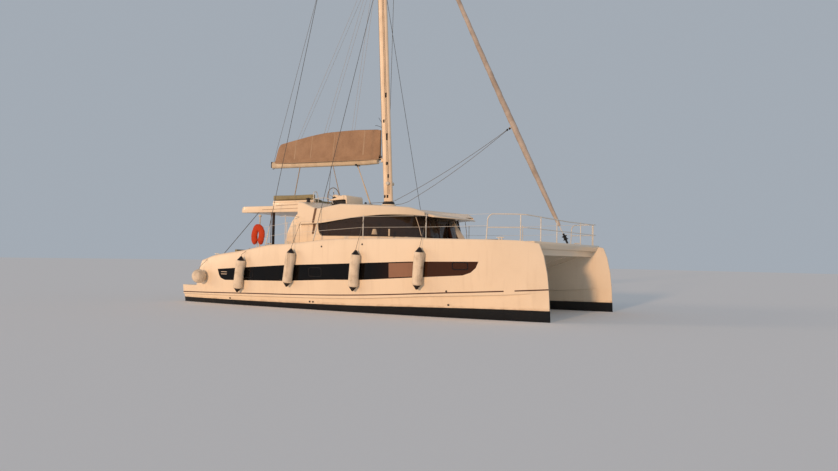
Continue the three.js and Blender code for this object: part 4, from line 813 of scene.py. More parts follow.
# One row per line of the hull: its rule for height, outer and inner half width, length of the entry
# behind the bow, and how full that entry is.
BELOW = [(1.0, 0.060, 0.060, 2.5, 2.0), (0.8, 0.400, 0.400, 6.5, 1.8), (0.42, 0.560, 0.560, 6.5, 1.8),
         (0.0, 0.625, 0.625, 6.5, 1.9)]
ABOVE = [(-0.025, 0.0, 0.680, 0.680, 6.0, 2.0), (0.0, 0.0, 0.745, 0.745, 5.6, 2.1),
         (0.0, 0.35, 0.800, 0.920, 5.0, 2.3),
         (0.0, 0.75, 0.815, 0.920, 4.6, 2.5), (-0.07, 1.0, 0.785, 0.920, 3.6, 2.7),
         (-0.03, 1.0, 0.772, 0.920, 3.6, 2.7),
         (-0.008, 1.0, 0.748, 0.920, 3.6, 2.7), (0.0, 1.0, 0.725, 0.920, 3.6, 2.7)]


def half_width(s, widest, entry, fullness):
    """Half a hull's width at station s: fully open aft, closing to a thin stem by a power of the
    distance from the bow, and a little narrower again at the stern."""
    aft = np.clip((-2.5 - s) / 3.9, 0, 1)
    full = 1 - (1 - np.minimum((BOW - s) / entry, 1)) ** fullness
    return WIDE + (widest * (1 - NARROW * aft**2) - WIDE) * full


def raked(s, z):
    """Stations near the bow lean with the stem line."""
    return s + np.clip((s - RAKE_START) / (BOW - RAKE_START), 0, 1) * (fair(STEM, z) - BOW)


def heights(s):
    """Heights of the lines above the water at station s, one column each."""
    knuckle, sheer = fair(KNUCKLE, s), fair(SHEER, s)
    return np.stack([knuckle + (sheer - knuckle) * share + shift for shift, share, *_ in ABOVE], -1)


def topside(x, z):
    """Y of the starboard outer skin at a place (x, z) above the water."""
    x, z = np.broadcast_arrays(np.asarray(x, float), np.asarray(z, float))
    s = x
    for _ in range(4):
        s = x - (raked(s, z) - s)
    levels = heights(s)
    width = np.stack([half_width(s, outer, entry, power) for _, _, outer, _, entry, power in ABOVE], -1)
    i = np.clip((levels < z[..., None]).sum(-1) - 1, 0, levels.shape[-1] - 2)[..., None]
    low, high = (np.take_along_axis(levels, j, -1)[..., 0] for j in (i, i + 1))
    inner, outer = (np.take_along_axis(width, j, -1)[..., 0] for j in (i, i + 1))
    return -HULL_AXIS - (inner + (outer - inner) * np.clip((z - low) / (high - low), 0, 1))


print("half width amidships", round(float(-topside(0.0, 1.2) - HULL_AXIS), 3), "m")

# %% [markdown]
# The rows of the grid are stations, closer together at the bow where the shape changes fastest. Each
# row goes up the outer side and down the inner one. Under water the section is round, so a cubic
# through four widths gives it more points than were measured.

# %% Loft, cut and mirror the hulls
STATIONS, ROUND_STEPS = 110, 9
s = BOW - 2 * BOW * np.linspace(0, 1, STATIONS) ** 1.25
depth = np.linspace(1, 0, ROUND_STEPS)
sides = []
for outer in (True, False):
    below = np.stack([half_width(s, (row[1], row[2])[not outer], row[3], row[4]) for row in BELOW], -1)
    cubic = np.linalg.inv(np.vander([row[0] for row in BELOW], 4))
    below = below @ (np.vander(depth, 4) @ cubic).T
    above = np.stack([half_width(s, (row[2], row[3])[not outer], row[4], row[5]) for row in ABOVE], -1)
    z = np.concatenate([fair(KEEL, s)[:, None] * depth, heights(s)], 1)
    width = np.maximum(np.concatenate([below, above], 1), 0.012)
    y = -HULL_AXIS + (-width if outer else width)
    sides.append(np.stack([raked(s[:, None], z), y, z], -1))
hull = grid_mesh("hull", np.concatenate([sides[0], sides[1][:, ::-1]], 1), around=True)


def side_cut(outline, low_y, high_y):
    """A side view, (x, z) rows, carried across from low_y to high_y."""
    return slab("side view", [(x, low_y, z) for x, z in outline], (0, high_y - low_y, 0))


BAND_LOW = [(-4.64, 1.115), (-4.60, 0.96), (-4.50, 0.84), (-4.31, 0.775), (-1.88, 0.82), (-0.08, 0.91),
            (1.02, 0.94), (2.65, 1.05),
            (4.16, 1.15), (4.39, 1.23), (4.54, 1.37), (4.60, 1.52)]
BAND_HIGH = [(-4.64, 1.12), (-1.82, 1.30), (-0.09, 1.37), (2.64, 1.49), (4.60, 1.525)]
SILL, PANE_DEPTH = 0.020, 0.008


def band(name, outside, inside, margin=0.0, start=-4.64, end=4.60):
    """The window band as a thin curved block: its edges follow two lines in the side view and its
    faces lie at two distances inside the topside. A distance of None reaches far outside."""
    x = np.linspace(start + margin, end - margin, 130)[:, None]
    low, high = np.interp(x, *zip(*BAND_LOW)) + margin, np.interp(x, *zip(*BAND_HIGH)) - margin
    share = np.linspace(0, 1, 6)
    z = low + np.maximum(high - low, 0.001) * share
    x = np.broadcast_to(x, z.shape)
    outer = np.full(z.shape, -4.2) if outside is None else topside(x, z) + outside
    inner = topside(x, z) + inside
    grid = np.stack([np.concatenate([x, x], 1), np.concatenate([outer, inner[:, ::-1]], 1),
                     np.concatenate([z, z[:, ::-1]], 1)], -1)
    return grid_mesh(name, grid, around=True)


STERN = [(-6.5, 0.56), (-5.69, 0.56), (-5.668, 0.64), (-5.455, 1.34), (-5.41, 1.42), (-5.34, 1.475),
         (-5.34, 2.4), (-6.5, 2.4)]
WELLS = [((-5.70, -3.05, 0.78), (-5.35, -1.70, 3.0)), ((-5.351, -3.23, 1.0), (-4.0, -1.70, 3.0)),
         ((-4.001, -2.35, 1.0), (-1.75, -1.70, 3.0)),
         ((-1.751, -2.45, 1.0), (0.90, -1.70, 3.0)), ((-5.0, -3.055, -0.05), (-4.1, -2.345, 1.001)),
         ((-5.026, -3.086, 0.9596), (-4.074, -2.314, 1.001))]
RUDDER_BORE = [(0.0306, -0.4), (0.0306, 0.35)]
tools = [side_cut(STERN, -4.0, -1.0), band("sill", None, SILL),
         turned("bore", RUDDER_BORE, (-5.75, -HULL_AXIS, 0), sides=24)]
tools += [block("well", *corners) for corners in WELLS]
hull = cut(hull, tools)
both_sides("hull_shell", hull, hull_paint, instead_of="hull")
print("hull faces:", len(hull.polygons))

# %% [markdown]
# The long dark band in each topside is one flush pane in a shallow recess, with opening portlights
# behind it. Behind tinted glass only their frames show. Each is a rounded rectangle whose points are
# laid onto the topside. One stretch of the pane is painted paler and warmer: a painted glow, as of a lit
# cabin.

# %% Hull windows and portlights
both_sides("hull_glass", band("hull_glass", PANE_DEPTH, SILL - 0.0005, 0.0015), hull_glass,
           instead_of="hull_window")


def on_side(name, centre, half, corner, thick, out, rows=48):
    """A flat ring laid on the topside: an inner and an outer rounded rectangle, (|x|/a)^n + (|z|/b)^n
    = 1, each at two distances from the skin."""
    a = np.linspace(0, 2 * np.pi, rows, endpoint=False)
    shape = np.stack([np.sign(np.cos(a)) * abs(np.cos(a)) ** corner,
                      np.sign(np.sin(a)) * abs(np.sin(a)) ** corner], -1)
    rings = []
    for grow, lift in ((0, out[0]), (thick, out[0]), (thick, out[1]), (0, out[1]), (0, out[0])):
        x, z = (np.asarray(centre) + shape * (np.asarray(half) + grow)).T
        rings.append(np.stack([x, topside(x, z) + lift, z], -1))
    return grid_mesh(name, np.stack(rings), around=True, closed=False)


def frame_ring(name, centre, half, thick, out=(0.0075, 0.002)):
    ring = on_side(name, centre, half, 0.35, thick, out)
    close(ring)
    return ring


PORTLIGHTS = [((-3.30, 1.00), (0.22, 0.11)), ((-0.62, 1.12), (0.22, 0.12)), ((4.10, 1.40), (0.20, 0.085))]
for number, (centre, half) in enumerate(PORTLIGHTS):
    both_sides(f"portlight_{number}", frame_ring("portlight", centre, half, 0.022), pane_seal)
# A paler, warmer stretch of the pane: a painted glow, as of a lit cabin behind it.
lit = band("lit_pane", PANE_DEPTH - 0.0015, PANE_DEPTH + 0.004, 0.03, start=1.93, end=2.76)
both_sides("lit_pane", lit, hull_pane_lit)
print("portlights on each side:", len(PORTLIGHTS))

# %% [markdown]
# ## Deck and deckhouse
# Between the hulls lies the bridge deck, and on it the saloon. These are moulded parts with flat
# faces and soft corners, so a welded copy of the frame's solid is enough once its edges are rounded:
# sharp plastic edges don't exist, and the narrow highlight along a rounded one is what makes a
# moulding look real.

# %% Moulded parts from the frame's own solids
MOULDED = [("bridge_deck", 0.018, deck_gelcoat), ("deckhouse_front", 0.010, house_paint),
           ("deckhouse_side_starboard", 0.010, house_paint),
           ("deckhouse_side_port", 0.010, house_paint), ("roof_fin_starboard", 0.010, gelcoat),
           ("roof_fin_port", 0.010, gelcoat),
           ("flybridge_bench", 0.018, deck_gelcoat), ("galley_counter", 0.012, cabin_wood),
           ("aft_bulkhead", 0.006, gelcoat),
           ("cockpit_table", 0.008, teak), ("saloon_table", 0.008, cabin_wood),
           ("engine_hatch_starboard", 0.006, deck_gelcoat),
           ("engine_hatch_port", 0.006, deck_gelcoat)]
RIDES = {"engine_hatch_starboard": "hatch_body_starboard", "engine_hatch_port": "hatch_body_port"}
for node_name, width, paint_used in MOULDED:
    piece(node_name + "_moulding", copy_of(node_name, width), paint_used, RIDES.get(node_name, "root"),
          (node_name,))
print("moulded parts:", len(MOULDED))

# %% [markdown]
# The saloon roof is one large shell. Seen from above it is a rounded block, a superellipse; its edge
# hangs down as a deep visor aft and thins out forward, where it shades the front windows. The grid's
# columns go round the plan and its rows come in from the edge to the crown.

# %% The saloon roof
ROOF_LENGTH, ROOF_BEAM, ROOF_POWER, ROOF_AFT, ROOF_ROUND = 4.15, 3.02, 2.1, -1.75, -1.60
VISOR_FOOT = [(-1.75, 2.56), (-1.04, 2.58), (-0.23, 2.69), (0.43, 2.795), (1.36, 2.87), (1.90, 2.86),
              (2.20, 2.82), (2.55, 2.80)]
VISOR_TOP = [(-1.75, 3.262), (-1.60, 3.25), (-1.08, 3.055), (-0.96, 3.052), (-0.23, 3.18), (0.93, 3.14),
             (1.68, 3.11), (1.95, 3.01), (2.10, 2.925),
             (2.20, 2.88), (2.37, 2.86), (2.55, 2.85)]
CROWN, EDGE_ROUND = 3.345, 0.06
RISE = [(0.25, 1.0), (0.55, 0.60), (0.80, 0.24), (0.975, 0.0)]


def plan(length, beam, power, steps=90):
    """Half a superellipse ahead of a straight part, from the starboard aft corner round to port."""
    a = np.linspace(-np.pi / 2, np.pi / 2, steps)
    x = ROOF_ROUND + length * np.cos(a) ** (2 / power)
    y = beam * np.sign(np.sin(a)) * abs(np.sin(a)) ** (2 / power)
    aft = np.linspace(ROOF_AFT, ROOF_ROUND, 3)[:-1]
    x = np.concatenate([aft, x, aft[::-1]])
    return x, np.concatenate([np.full(2, -beam), y, np.full(2, beam)])


x, y = plan(ROOF_LENGTH, ROOF_BEAM, ROOF_POWER)
foot, top = fair(VISOR_FOOT, x), np.interp(x, *zip(*VISOR_TOP))
shoulder = top - np.minimum(EDGE_ROUND, (top - foot) / 2)
rings = [(0.9, foot + 0.06), (0.993, foot + 0.002), (1.0, foot + 0.008), (1.0, shoulder)]
turn = np.linspace(0, np.pi / 2, 5)[1:]
rings += [(0.975 + 0.025 * math.cos(a), shoulder + (top - shoulder) * math.sin(a)) for a in turn]
rings += [(share, top + (CROWN - top) * float(fair(RISE, share))) for share in np.linspace(0.95, 0.02, 26)]
grid = np.stack([np.stack([ROOF_AFT + (x - ROOF_AFT) * share, y * share, z], -1) for share, z in rings])
roof = grid_mesh("roof", grid, around=True)


def house_outline(grown, z):
    """The deckhouse in plan at height z: it leans back above the deck."""
    x, y = plan(3.53 - 0.29 * (z - 2.09) + grown, 2.90 + grown, 2.75, 60)
    return np.stack([x, y, np.full(x.shape, z)], -1)


room = grid_mesh("room", np.stack([house_outline(0.0004, z) for z in (1.9, 2.9304)]), around=True)
ROOF_CUTS = [((-1.80, -2.40, 3.14), (-1.602, 2.40, 3.60)), ((1.60, -1.62, 2.70), (2.40, -1.36, 2.965)),
             ((1.60, 1.36, 2.70), (2.40, 1.62, 2.965))]
roof = cut(roof, [room] + [block("cut", *corners) for corners in ROOF_CUTS])
mast_foot = turned("mast_foot", [(0.24, 3.285), (0.24, 3.345), (0.232, 3.3516), (0.0, 3.3516)],
                   (-0.38, 0, 0))
piece("roof_shell", joined("roof_shell", [roof, mast_foot]), deck_gelcoat, instead_of=("coachroof",))
print("roof faces:", len(roof.polygons))

# %% [markdown]
# ## The hardtop and its posts
# The roof over the cockpit is a thin slab with rounded corners whose aft edge thins to a lip. Rows of
# the grid go from the middle of its underside out to the edge and back in over the top, so the edge
# can be as round as it likes. Two thin dark tubes run along each side, a painted shade of shallow
# grooves, and a raised tier carries the seats.

# %% The hardtop
TOP_AFT, TOP_FRONT, TOP_BEAM, TOP_CORNER = -4.45, -1.7504, 2.85, 0.36
TOP_OVER, TOP_UNDER = [(-4.45, 3.005), (-4.20, 3.160),
                       (-1.75, 3.165)], [(-4.45, 2.985), (-4.25, 2.960), (-1.75, 2.955)]


def rounded_aft(steps=14):
    """Plan of the slab from the front starboard corner aft and round to port, with round corners."""
    a = np.linspace(0, np.pi / 2, steps)
    x, y = TOP_AFT + TOP_CORNER * (1 - np.sin(a)), TOP_BEAM - TOP_CORNER * (1 - np.cos(a))
    side = np.linspace(TOP_FRONT, TOP_AFT + TOP_CORNER, 12)[:-1]
    back = np.linspace(-(TOP_BEAM - TOP_CORNER), TOP_BEAM - TOP_CORNER, 20)[1:-1]
    starboard = np.concatenate([np.stack([side, np.full(11, -TOP_BEAM)], -1), np.stack([x, -y], -1)])
    port = starboard[::-1] * (1, -1)
    return np.concatenate([starboard, np.stack([np.full(18, TOP_AFT), back], -1), port])


outline = rounded_aft()
over = np.interp(outline[:, 0], *zip(*TOP_OVER))
under = np.interp(outline[:, 0], *zip(*TOP_UNDER))
edge_turn = np.minimum(0.035, (over - under) * 0.45)
rings = []
for share, inset, height in ((0.0, 0.4, 0.0), (0.0, 0.05, 0.0), (0.0, 0.02, 0.0), (0.0, 0.006, 0.25),
                             (0.0, 0.0, 1.0), (1.0, 0.0, -1.0), (1.0, 0.006, -0.25),
                             (1.0, 0.02, 0.0), (1.0, 0.05, 0.0), (1.0, 0.4, 0.0)):
    inward = outline * (1, 1 - inset / TOP_BEAM)
    inward[:, 0] = np.maximum(inward[:, 0], TOP_AFT + inset) if inset else inward[:, 0]
    middle_rows = TOP_OVER if share else TOP_UNDER
    edge_z = over if share else under
    base_z = edge_z if inset < 0.3 else np.interp(inward[:, 0], *zip(*middle_rows))
    rings.append(np.column_stack([inward, base_z + height * edge_turn]))
slab_mesh = grid_mesh("hardtop", np.stack(rings), around=True)
TIER = [(-2.93, 3.155), (-2.85, 3.225), (-1.76, 3.268), (-1.76, 3.15), (-2.94, 3.15)]
tier = soften(side_cut(TIER, -2.83, -2.70), 0.012)
# Two thin tubes in a dark finish along each side: a painted shade where shallow grooves would be.
grooves = [tube("groove_shade", [(-3.35, -2.852, 3.045), (-1.80, -2.852, 3.075)], 0.006, 6),
           tube("groove_shade", [(-2.82, -2.832, 3.165), (-1.80, -2.832, 3.20)], 0.005, 6)]
piece("hardtop_slab", joined("hardtop", [slab_mesh, tier, mirror_mesh(tier, "tier")]), deck_gelcoat,
      instead_of=("hardtop",))
both_sides("hardtop_groove_shade", joined("grooves", grooves), groove_shadow)
POST_FOOT_Z = 1.86
both_sides("hardtop_post", tube("post",
                                [(-3.0, -2.70, POST_FOOT_Z), (-3.0, -2.70, 2.40), (-3.0, -2.70, 2.97)],
                                0.045, 20), dark_post)
both_sides("post_rail", tube("rail", [(-3.085, -2.72, POST_FOOT_Z), (-3.085, -2.72, 2.97)], 0.011, 10),
           teak)
both_sides("hardtop_strut", tube("strut", [(-4.60, -3.27, 1.585), (-3.56, -2.785, 2.965)], 0.010, 12),
           rigging_wire)
print("hardtop thickness", round(float((over - under).max()), 3), "m")

# %% [markdown]
# ## The helm
# The wheel stands behind a low console on the roof. Seen from the water only a thin wedge shows over
# a dark opening, so the console is a hood on legs, open underneath towards the side. The wheel is a
# round tube with a bound rim, five spokes and a hub that stands off its panel.

# %% Helm console and wheel
HOOD = [(-1.56, 3.385), (-1.52, 3.40), (-1.10, 3.515), (-0.98, 3.54), (-0.88, 3.54), (-0.835, 3.49),
        (-0.82, 3.27)]
HOOD_UNDER = [(-0.86, 3.27), (-0.87, 3.39), (-0.94, 3.41), (-1.54, 3.375)]
hood = soften(side_cut(HOOD + HOOD_UNDER, -1.745, -0.855), 0.014)
binnacle = soften(side_cut([(-1.60, 3.42), (-1.60, 3.598), (-1.50, 3.598), (-1.05, 3.50), (-1.05, 3.34)],
                           -1.46, -1.10), 0.02)
inside = soften(side_cut([(-1.45, 3.20), (-1.45, 3.37), (-0.92, 3.38), (-0.90, 3.20)], -1.70, -0.90), 0.01)
dome = turned("dome", [(0.0, 0.105), (0.03, 0.10), (0.055, 0.08), (0.066, 0.045), (0.066, 0.0), (0.0, 0.0)],
              (-1.22, -1.40, 3.475), sides=32)
piece("console_hood", joined("hood", [hood, binnacle, dome]), gelcoat, instead_of=("helm_console",))
# A black block fills the space under the hood: painted shade of the opening.
piece("console_shade_block", inside, black_paint)
WHEEL, WHEEL_R, RIM = np.array([-1.69, -1.30, 3.52]), 0.33, 0.014
a = np.linspace(0, 2 * np.pi, 97)
circle = np.stack([0 * a, np.cos(a), np.sin(a)], -1)
side, upright = np.cross(circle, [1.0, 0, 0]), np.array([1.0, 0, 0])
ring = np.linspace(0, 2 * np.pi, 14, endpoint=False)
bound = RIM * (1 + 0.05 * np.cos(48 * a))
tube_radius = bound[:, None, None]
rim = (WHEEL + circle[:, None] * (WHEEL_R - RIM + tube_radius * np.cos(ring)[None, :, None])
       + tube_radius * np.sin(ring)[None, :, None] * upright)
rim_mesh = grid_mesh("rim", rim, around=True)
piece("wheel_rim", rim_mesh, wheel_leather, body="wheel_body", instead_of=("steering_wheel",))
spokes = [tube("spoke", [WHEEL + (0.012, 0.035 * math.cos(t), 0.035 * math.sin(t)),
                         WHEEL + (0, (WHEEL_R - RIM) * math.cos(t), (WHEEL_R - RIM) * math.sin(t))],
               0.0085, 10) for t in np.linspace(np.pi / 2, 2.5 * np.pi, 5, endpoint=False)]
HUB = [(0.0, -0.022), (0.030, -0.020), (0.044, -0.008), (0.045, 0.012), (0.022, 0.030), (0.020, 0.118),
       (0.0, 0.119)]
piece("wheel_spokes", joined("spokes", [*spokes, turned("hub", HUB, WHEEL, (1, 0, 0), 28)]), steel,
      body="wheel_body")
boss = turned("boss", [(0.0235, -0.030), (0.060, -0.028), (0.062, -0.006), (0.058, 0.0), (0.0235, 0.001)],
              (-1.599, -1.30, 3.52), (1, 0, 0))
piece("wheel_boss", boss, black_paint)
gauges = [turned("gauge", [(0.0, 0.0), (0.04, 0.0), (0.042, 0.006), (0.036, 0.009), (0.0, 0.009)],
                 (x, y, z), (-0.24, 0, 0.97), 28)
          for y in (-1.62, -0.98) for x, z in ((-1.42, 3.428), (-1.25, 3.470))]
piece("gauges", joined("gauges", gauges), black_paint)
throttle = [block("throttle", (-1.40, -1.742, 3.43), (-1.28, -1.69, 3.50), 0.008),
            tube("lever", [(-1.34, -1.72, 3.50), (-1.37, -1.72, 3.62)], 0.008, 10),
            ball("knob", (-1.372, -1.72, 3.63), 0.016, 14)]
piece("throttle", joined("throttle", throttle), black_paint)
print("wheel of", 2 * WHEEL_R, "m")

# %% [markdown]
# Around the helm stand the small things that make a working boat: a winch on each side, grab rails,
# line clutches, and a dark strip where the roof's visor meets the fin.

# %% Fittings on the roof
WINCH = [(0.0, 0.0), (0.085, 0.0), (0.088, 0.012), (0.070, 0.026), (0.060, 0.05), (0.056, 0.10),
         (0.075, 0.125), (0.080, 0.135), (0.072, 0.15), (0.030, 0.155), (0.028, 0.165), (0.0, 0.166)]
both_sides("roof_winch", turned("winch", WINCH, (-1.66, -2.62, 3.243), sides=36), black_paint)
STRIP = np.array([(-1.055, -3.012, 3.046), (-1.10, -3.016, 2.83), (-1.15, -3.014, 2.60),
                  (-1.165, -2.93, 2.54), (-1.20, -2.902, 2.42), (-1.235, -2.899, 2.27)])
strip_path = rounded(STRIP, 0.05)
strip_rows = [strip_path + shift
              for shift in ((-0.038, 0.03, 0), (-0.038, -0.004, 0), (0.034, -0.004, 0), (0.034, 0.03, 0))]
both_sides("visor_strip", soften(grid_mesh("strip", np.stack(strip_rows, 1), around=True), 0.004),
           visor_dark_strip)
grab = rounded([(-1.78, -2.20, 3.14), (-1.80, -2.20, 3.62), (-1.80, -2.05, 3.66), (-1.80, -1.95, 3.44),
                (-1.80, -1.95, 3.14)], 0.06)
grab_rail = rounded([(-1.62, -2.66, 3.20), (-1.50, -2.60, 3.36), (-1.20, -2.40, 3.42), (-1.00, -2.30, 3.36),
                     (-0.95, -2.28, 3.22)], 0.08)
piece("helm_grab", tube("grab", grab, 0.012, 10), steel)
both_sides("roof_grab", tube("grab", grab_rail, 0.011, 10), steel)
clutches = [block("clutch", (-1.38 + 0.0, y - 0.02, 3.30), (-1.18, y + 0.02, 3.345), 0.008)
            for y in np.arange(-0.75, -0.20, 0.09)]
clutches += [tube("lever", [(-1.30, y, 3.345), (-1.42, y, 3.385)], 0.006, 8)
             for y in np.arange(-0.75, -0.20, 0.09)]
piece("line_clutches", joined("clutches", clutches), black_paint)
print("roof fittings done")

# %% [markdown]
# ## Spars and standing rigging
# The mast is an extruded tube, longer fore and aft than it is wide, that leans back a little and
# tapers towards the top. Its sail track, spreaders and fittings are what make it a mast and not a
# pole. Each is placed from the same lean formula, so they stay on it from top to bottom.

# %% The mast
MAST_FOOT, MAST_HEAD, LEAN = 3.352, 18.30, 0.0588
MAST_LONG, MAST_WIDE, TAPER_FROM, HEAD_SHARE = 0.165, 0.095, 15.5, 0.72


def mast_x(z):
    return -0.38 - LEAN * (z - 3.34)


def mast_share(z):
    """Full size up to the taper, then evenly down to the share left at the head."""
    return 1 - (1 - HEAD_SHARE) * np.clip((z - TAPER_FROM) / (MAST_HEAD - TAPER_FROM), 0, 1)


def oval(half_long, half_wide, power, sides):
    """A superellipse in plan: |x/a|^p + |y/b|^p = 1."""
    a = np.linspace(0, 2 * np.pi, sides, endpoint=False)
    c, s = np.cos(a), np.sin(a)
    return np.sign(c) * abs(c) ** (2 / power) * half_long, np.sign(s) * abs(s) ** (2 / power) * half_wide


z = np.concatenate([np.linspace(MAST_FOOT, 4.6, 6), np.linspace(4.7, MAST_HEAD, 40)])[:, None]
ox, oy = oval(MAST_LONG, MAST_WIDE, 2.4, 40)
tube_grid = np.stack([mast_x(z) + ox * mast_share(z), oy * mast_share(z) + 0 * z,
                      np.broadcast_to(z, (len(z), 40))], -1)
spar = grid_mesh("mast_tube", tube_grid, around=True)
SPREADER_Z, SPREADER_TIP = 11.62, (-1.62, 1.951, 11.62)
spreader = tube("spreader", line((mast_x(SPREADER_Z), 0.02, SPREADER_Z), SPREADER_TIP, 12),
                np.linspace(0.042, 0.026, 12), 14)
bracket_x = mast_x(4.85) - 0.165
bracket = block("bracket", (bracket_x - 0.075, -0.028, 4.80), (bracket_x + 0.06, 0.028, 4.90), 0.006)
piece("mast_spar", joined("mast_spar", [spar, spreader, mirror_mesh(spreader, "port"), bracket]),
      spar_paint, instead_of=("mast",))


def on_mast(z, way, out=0.0):
    """A point on the mast's skin at height z: 'way' is degrees round from ahead towards starboard."""
    a = math.radians(way)
    share = float(mast_share(z))
    return np.array([mast_x(z) + math.cos(a) * (MAST_LONG * share + out),
                     -math.sin(a) * (MAST_WIDE * share + out), z])


track = tube("track", [on_mast(h, 180, 0.012) for h in np.linspace(4.95, 18.1, 30)], 0.012, 6)
piece("sail_track", track, black_paint)
FITTINGS = [(4.72, 75, 0.10, 0.035), (5.62, 65, 0.22, 0.03), (7.02, 62, 0.16, 0.028),
            (6.15, 100, 0.10, 0.025), (3.62, 80, 0.10, 0.03),
            (3.62, 120, 0.09, 0.03), (4.30, 60, 0.12, 0.022)]
fittings = [block("fitting", on_mast(h, way) - (half, 0.022, tall / 2),
                  on_mast(h, way) + (half, 0.018, tall / 2), 0.007)
            for h, way, tall, half in FITTINGS]
collar = turned("collar", [(0.20, 3.352), (0.205, 3.40), (0.185, 3.44), (0.150, 3.45)], (mast_x(3.4), 0, 0))
winches = [turned("winch", [(0.055, 0), (0.06, 0.02), (0.042, 0.035), (0.04, 0.085), (0.058, 0.10),
                            (0.055, 0.115), (0.02, 0.12)],
                  on_mast(4.05, way, -0.012), (math.cos(math.radians(way)), -math.sin(math.radians(way)),
                                               0), 20) for way in (70, -70)]
piece("mast_fittings", joined("mast_fittings", fittings), black_paint)
piece("mast_collar", soften(collar, 0.006), black_paint)
piece("mast_winches", joined("mast_winches", winches), steel)
print("mast head at", round(float(mast_x(MAST_HEAD)), 2), MAST_HEAD)

# %% [markdown]
# Wires hold the mast up. Each is a thin stretched cylinder, but it ends in a swaged terminal and a
# turnbuckle, the screw that tightens it, and those give the eye its scale. Lower down they stand on
# chainplates at the hull's side.

# %% Shrouds with their turnbuckles
WIRE = 0.008


def shroud(name, points, screw=0.5):
    """A wire through points, with a terminal, a turnbuckle and a fork at its foot."""
    a, b = np.asarray(points[0]), np.asarray(points[1])
    d = (b - a) / np.linalg.norm(b - a)
    profile = [(0.0, 0.02), (0.016, 0.03), (0.016, 0.10), (0.011, 0.12), (0.018, 0.15),
               (0.018, 0.15 + 0.5 * screw), (0.011, 0.18 + 0.5 * screw),
               (0.013, 0.20 + 0.5 * screw), (0.013, 0.34 + 0.5 * screw), (0.0, 0.36 + 0.5 * screw)]
    deck = (float(fair(SHEER, a[0])) - a[2]) / d[2]
    a = a + d * deck
    wire = tube(name, np.concatenate([line(p, q, 8)[:-1] for p, q in zip([a, *points[1:-1]], points[1:])]
                                     + [[points[-1]]]), WIRE, 8)
    return wire, turned(name + "_screw", profile, a, d, 14)


HOUNDS = (float(mast_x(17.3)), 0.0, 17.3)
SHROUDS = [("cap_shroud", [(-2.70, -3.43, 1.70), (-1.62, -1.96, 11.62), HOUNDS]),
           ("lower_shroud", [(-0.85, -3.40, 1.90), (float(mast_x(11.5)), 0.0, 11.5)])]
for name, points in SHROUDS:
    wire, screws = shroud(name, points)
    both_sides(name + "_wire", wire, rigging_wire, instead_of=name)
    both_sides(name + "_screw", screws, steel)
print("shrouds on each side:", len(SHROUDS))

# %% [markdown]
# The headsail is rolled round its stay: a long lens-shaped roll with the sail's free edge winding
# round it as a spiral, and a darker strip of sun-proof cloth outside. The roll is a tube whose radius
# changes along it, and the spiral is a small step in that radius that moves round as it goes up.

# %% The furled headsail
STAY_FOOT, STAY_HEAD, STAY_SAG = np.array([5.81, 0.0,
                                           2.20]), np.array([float(mast_x(17.27)), 0.0, 17.27]), 0.13
ROLL = [(0.02, 0.014), (0.03, 0.045), (0.05, 0.055), (0.13, 0.075), (0.22, 0.088), (0.35, 0.076),
        (0.5, 0.066), (0.7, 0.054), (0.9, 0.038),
        (0.955, 0.030), (0.96, 0.012), (1.0, 0.012)]


def stay(share):
    """The stay's line: straight from foot to head, hanging back by 4 s (1 - s) times the sag."""
    share = np.asarray(share)[..., None]
    down = np.array([-0.93, 0.0, -0.37])
    return STAY_FOOT + (STAY_HEAD - STAY_FOOT) * share + down * STAY_SAG * 4 * share * (1 - share)


def sail_roll(name, start, end, turns, step, grow=1.0, rows=260, sides=32):
    """Radius times 1 + step x (how far round the spiral has come, from 0 to 1)."""
    share = np.linspace(start, end, rows)
    path = stay(share)
    one, two = frames_along(path)
    a = np.linspace(0, 2 * np.pi, sides, endpoint=False)
    round_share = (a[None] / (2 * np.pi) - turns * share[:, None]) % 1.0
    ripple = 0.03 * np.sin(3 * a[None] + 40 * share[:, None]) * np.sin(17 * share[:, None])
    radius = fair(ROLL, share)[:, None] * grow * (0.97 + step * round_share + ripple)
    ring = np.cos(a)[None, :, None] * one[:, None] + np.sin(a)[None, :, None] * two[:, None]
    return grid_mesh(name, path[:, None] + radius[..., None] * ring, around=True)


roll = sail_roll("furled_sail", 0.028, 0.956, 26, 0.11)
piece("furled_sail", roll, sail_roll_cloth, instead_of=("furled_headsail",))
ends = [tube("stay", stay(np.linspace(a, b, 12)), 0.012, 10) for a, b in ((0.0, 0.04), (0.95, 1.0))]
piece("forestay", joined("forestay", ends), steel)
DRUM = [(0.0, -0.11), (0.03, -0.11), (0.03, 0.0), (0.075, 0.01), (0.078, 0.02), (0.05, 0.03), (0.046, 0.10),
        (0.078, 0.11), (0.076, 0.125), (0.03, 0.14),
        (0.03, 0.20), (0.0, 0.20)]
along = (STAY_HEAD - STAY_FOOT) / np.linalg.norm(STAY_HEAD - STAY_FOOT)
piece("furler_drum_turned", turned("drum", DRUM, STAY_FOOT, along, 32), black_paint,
      instead_of=("furler_drum",))
print("sail roll faces:", len(roll.polygons))

# %% [markdown]
# ## Boom and sail bag
# The boom swings on the mast and carries the mainsail in a long zipped bag of woven cloth. The bag
# hangs between its edges: fullest low down where the folded sail lies, drawn in at the tapes that are
# sewn round it. Everything here moves with the boom.

# %% The boom
BOOM_ROWS = [(-0.84, 4.735, 4.97, 0.09), (-1.40, 4.715, 4.99, 0.11), (-5.48, 4.775, 5.02, 0.095)]


def table(rows, x, column):
    """One column of a table as a smooth line along x."""
    rows = sorted(rows)
    return fair([(row[0], row[column]) for row in rows], x)


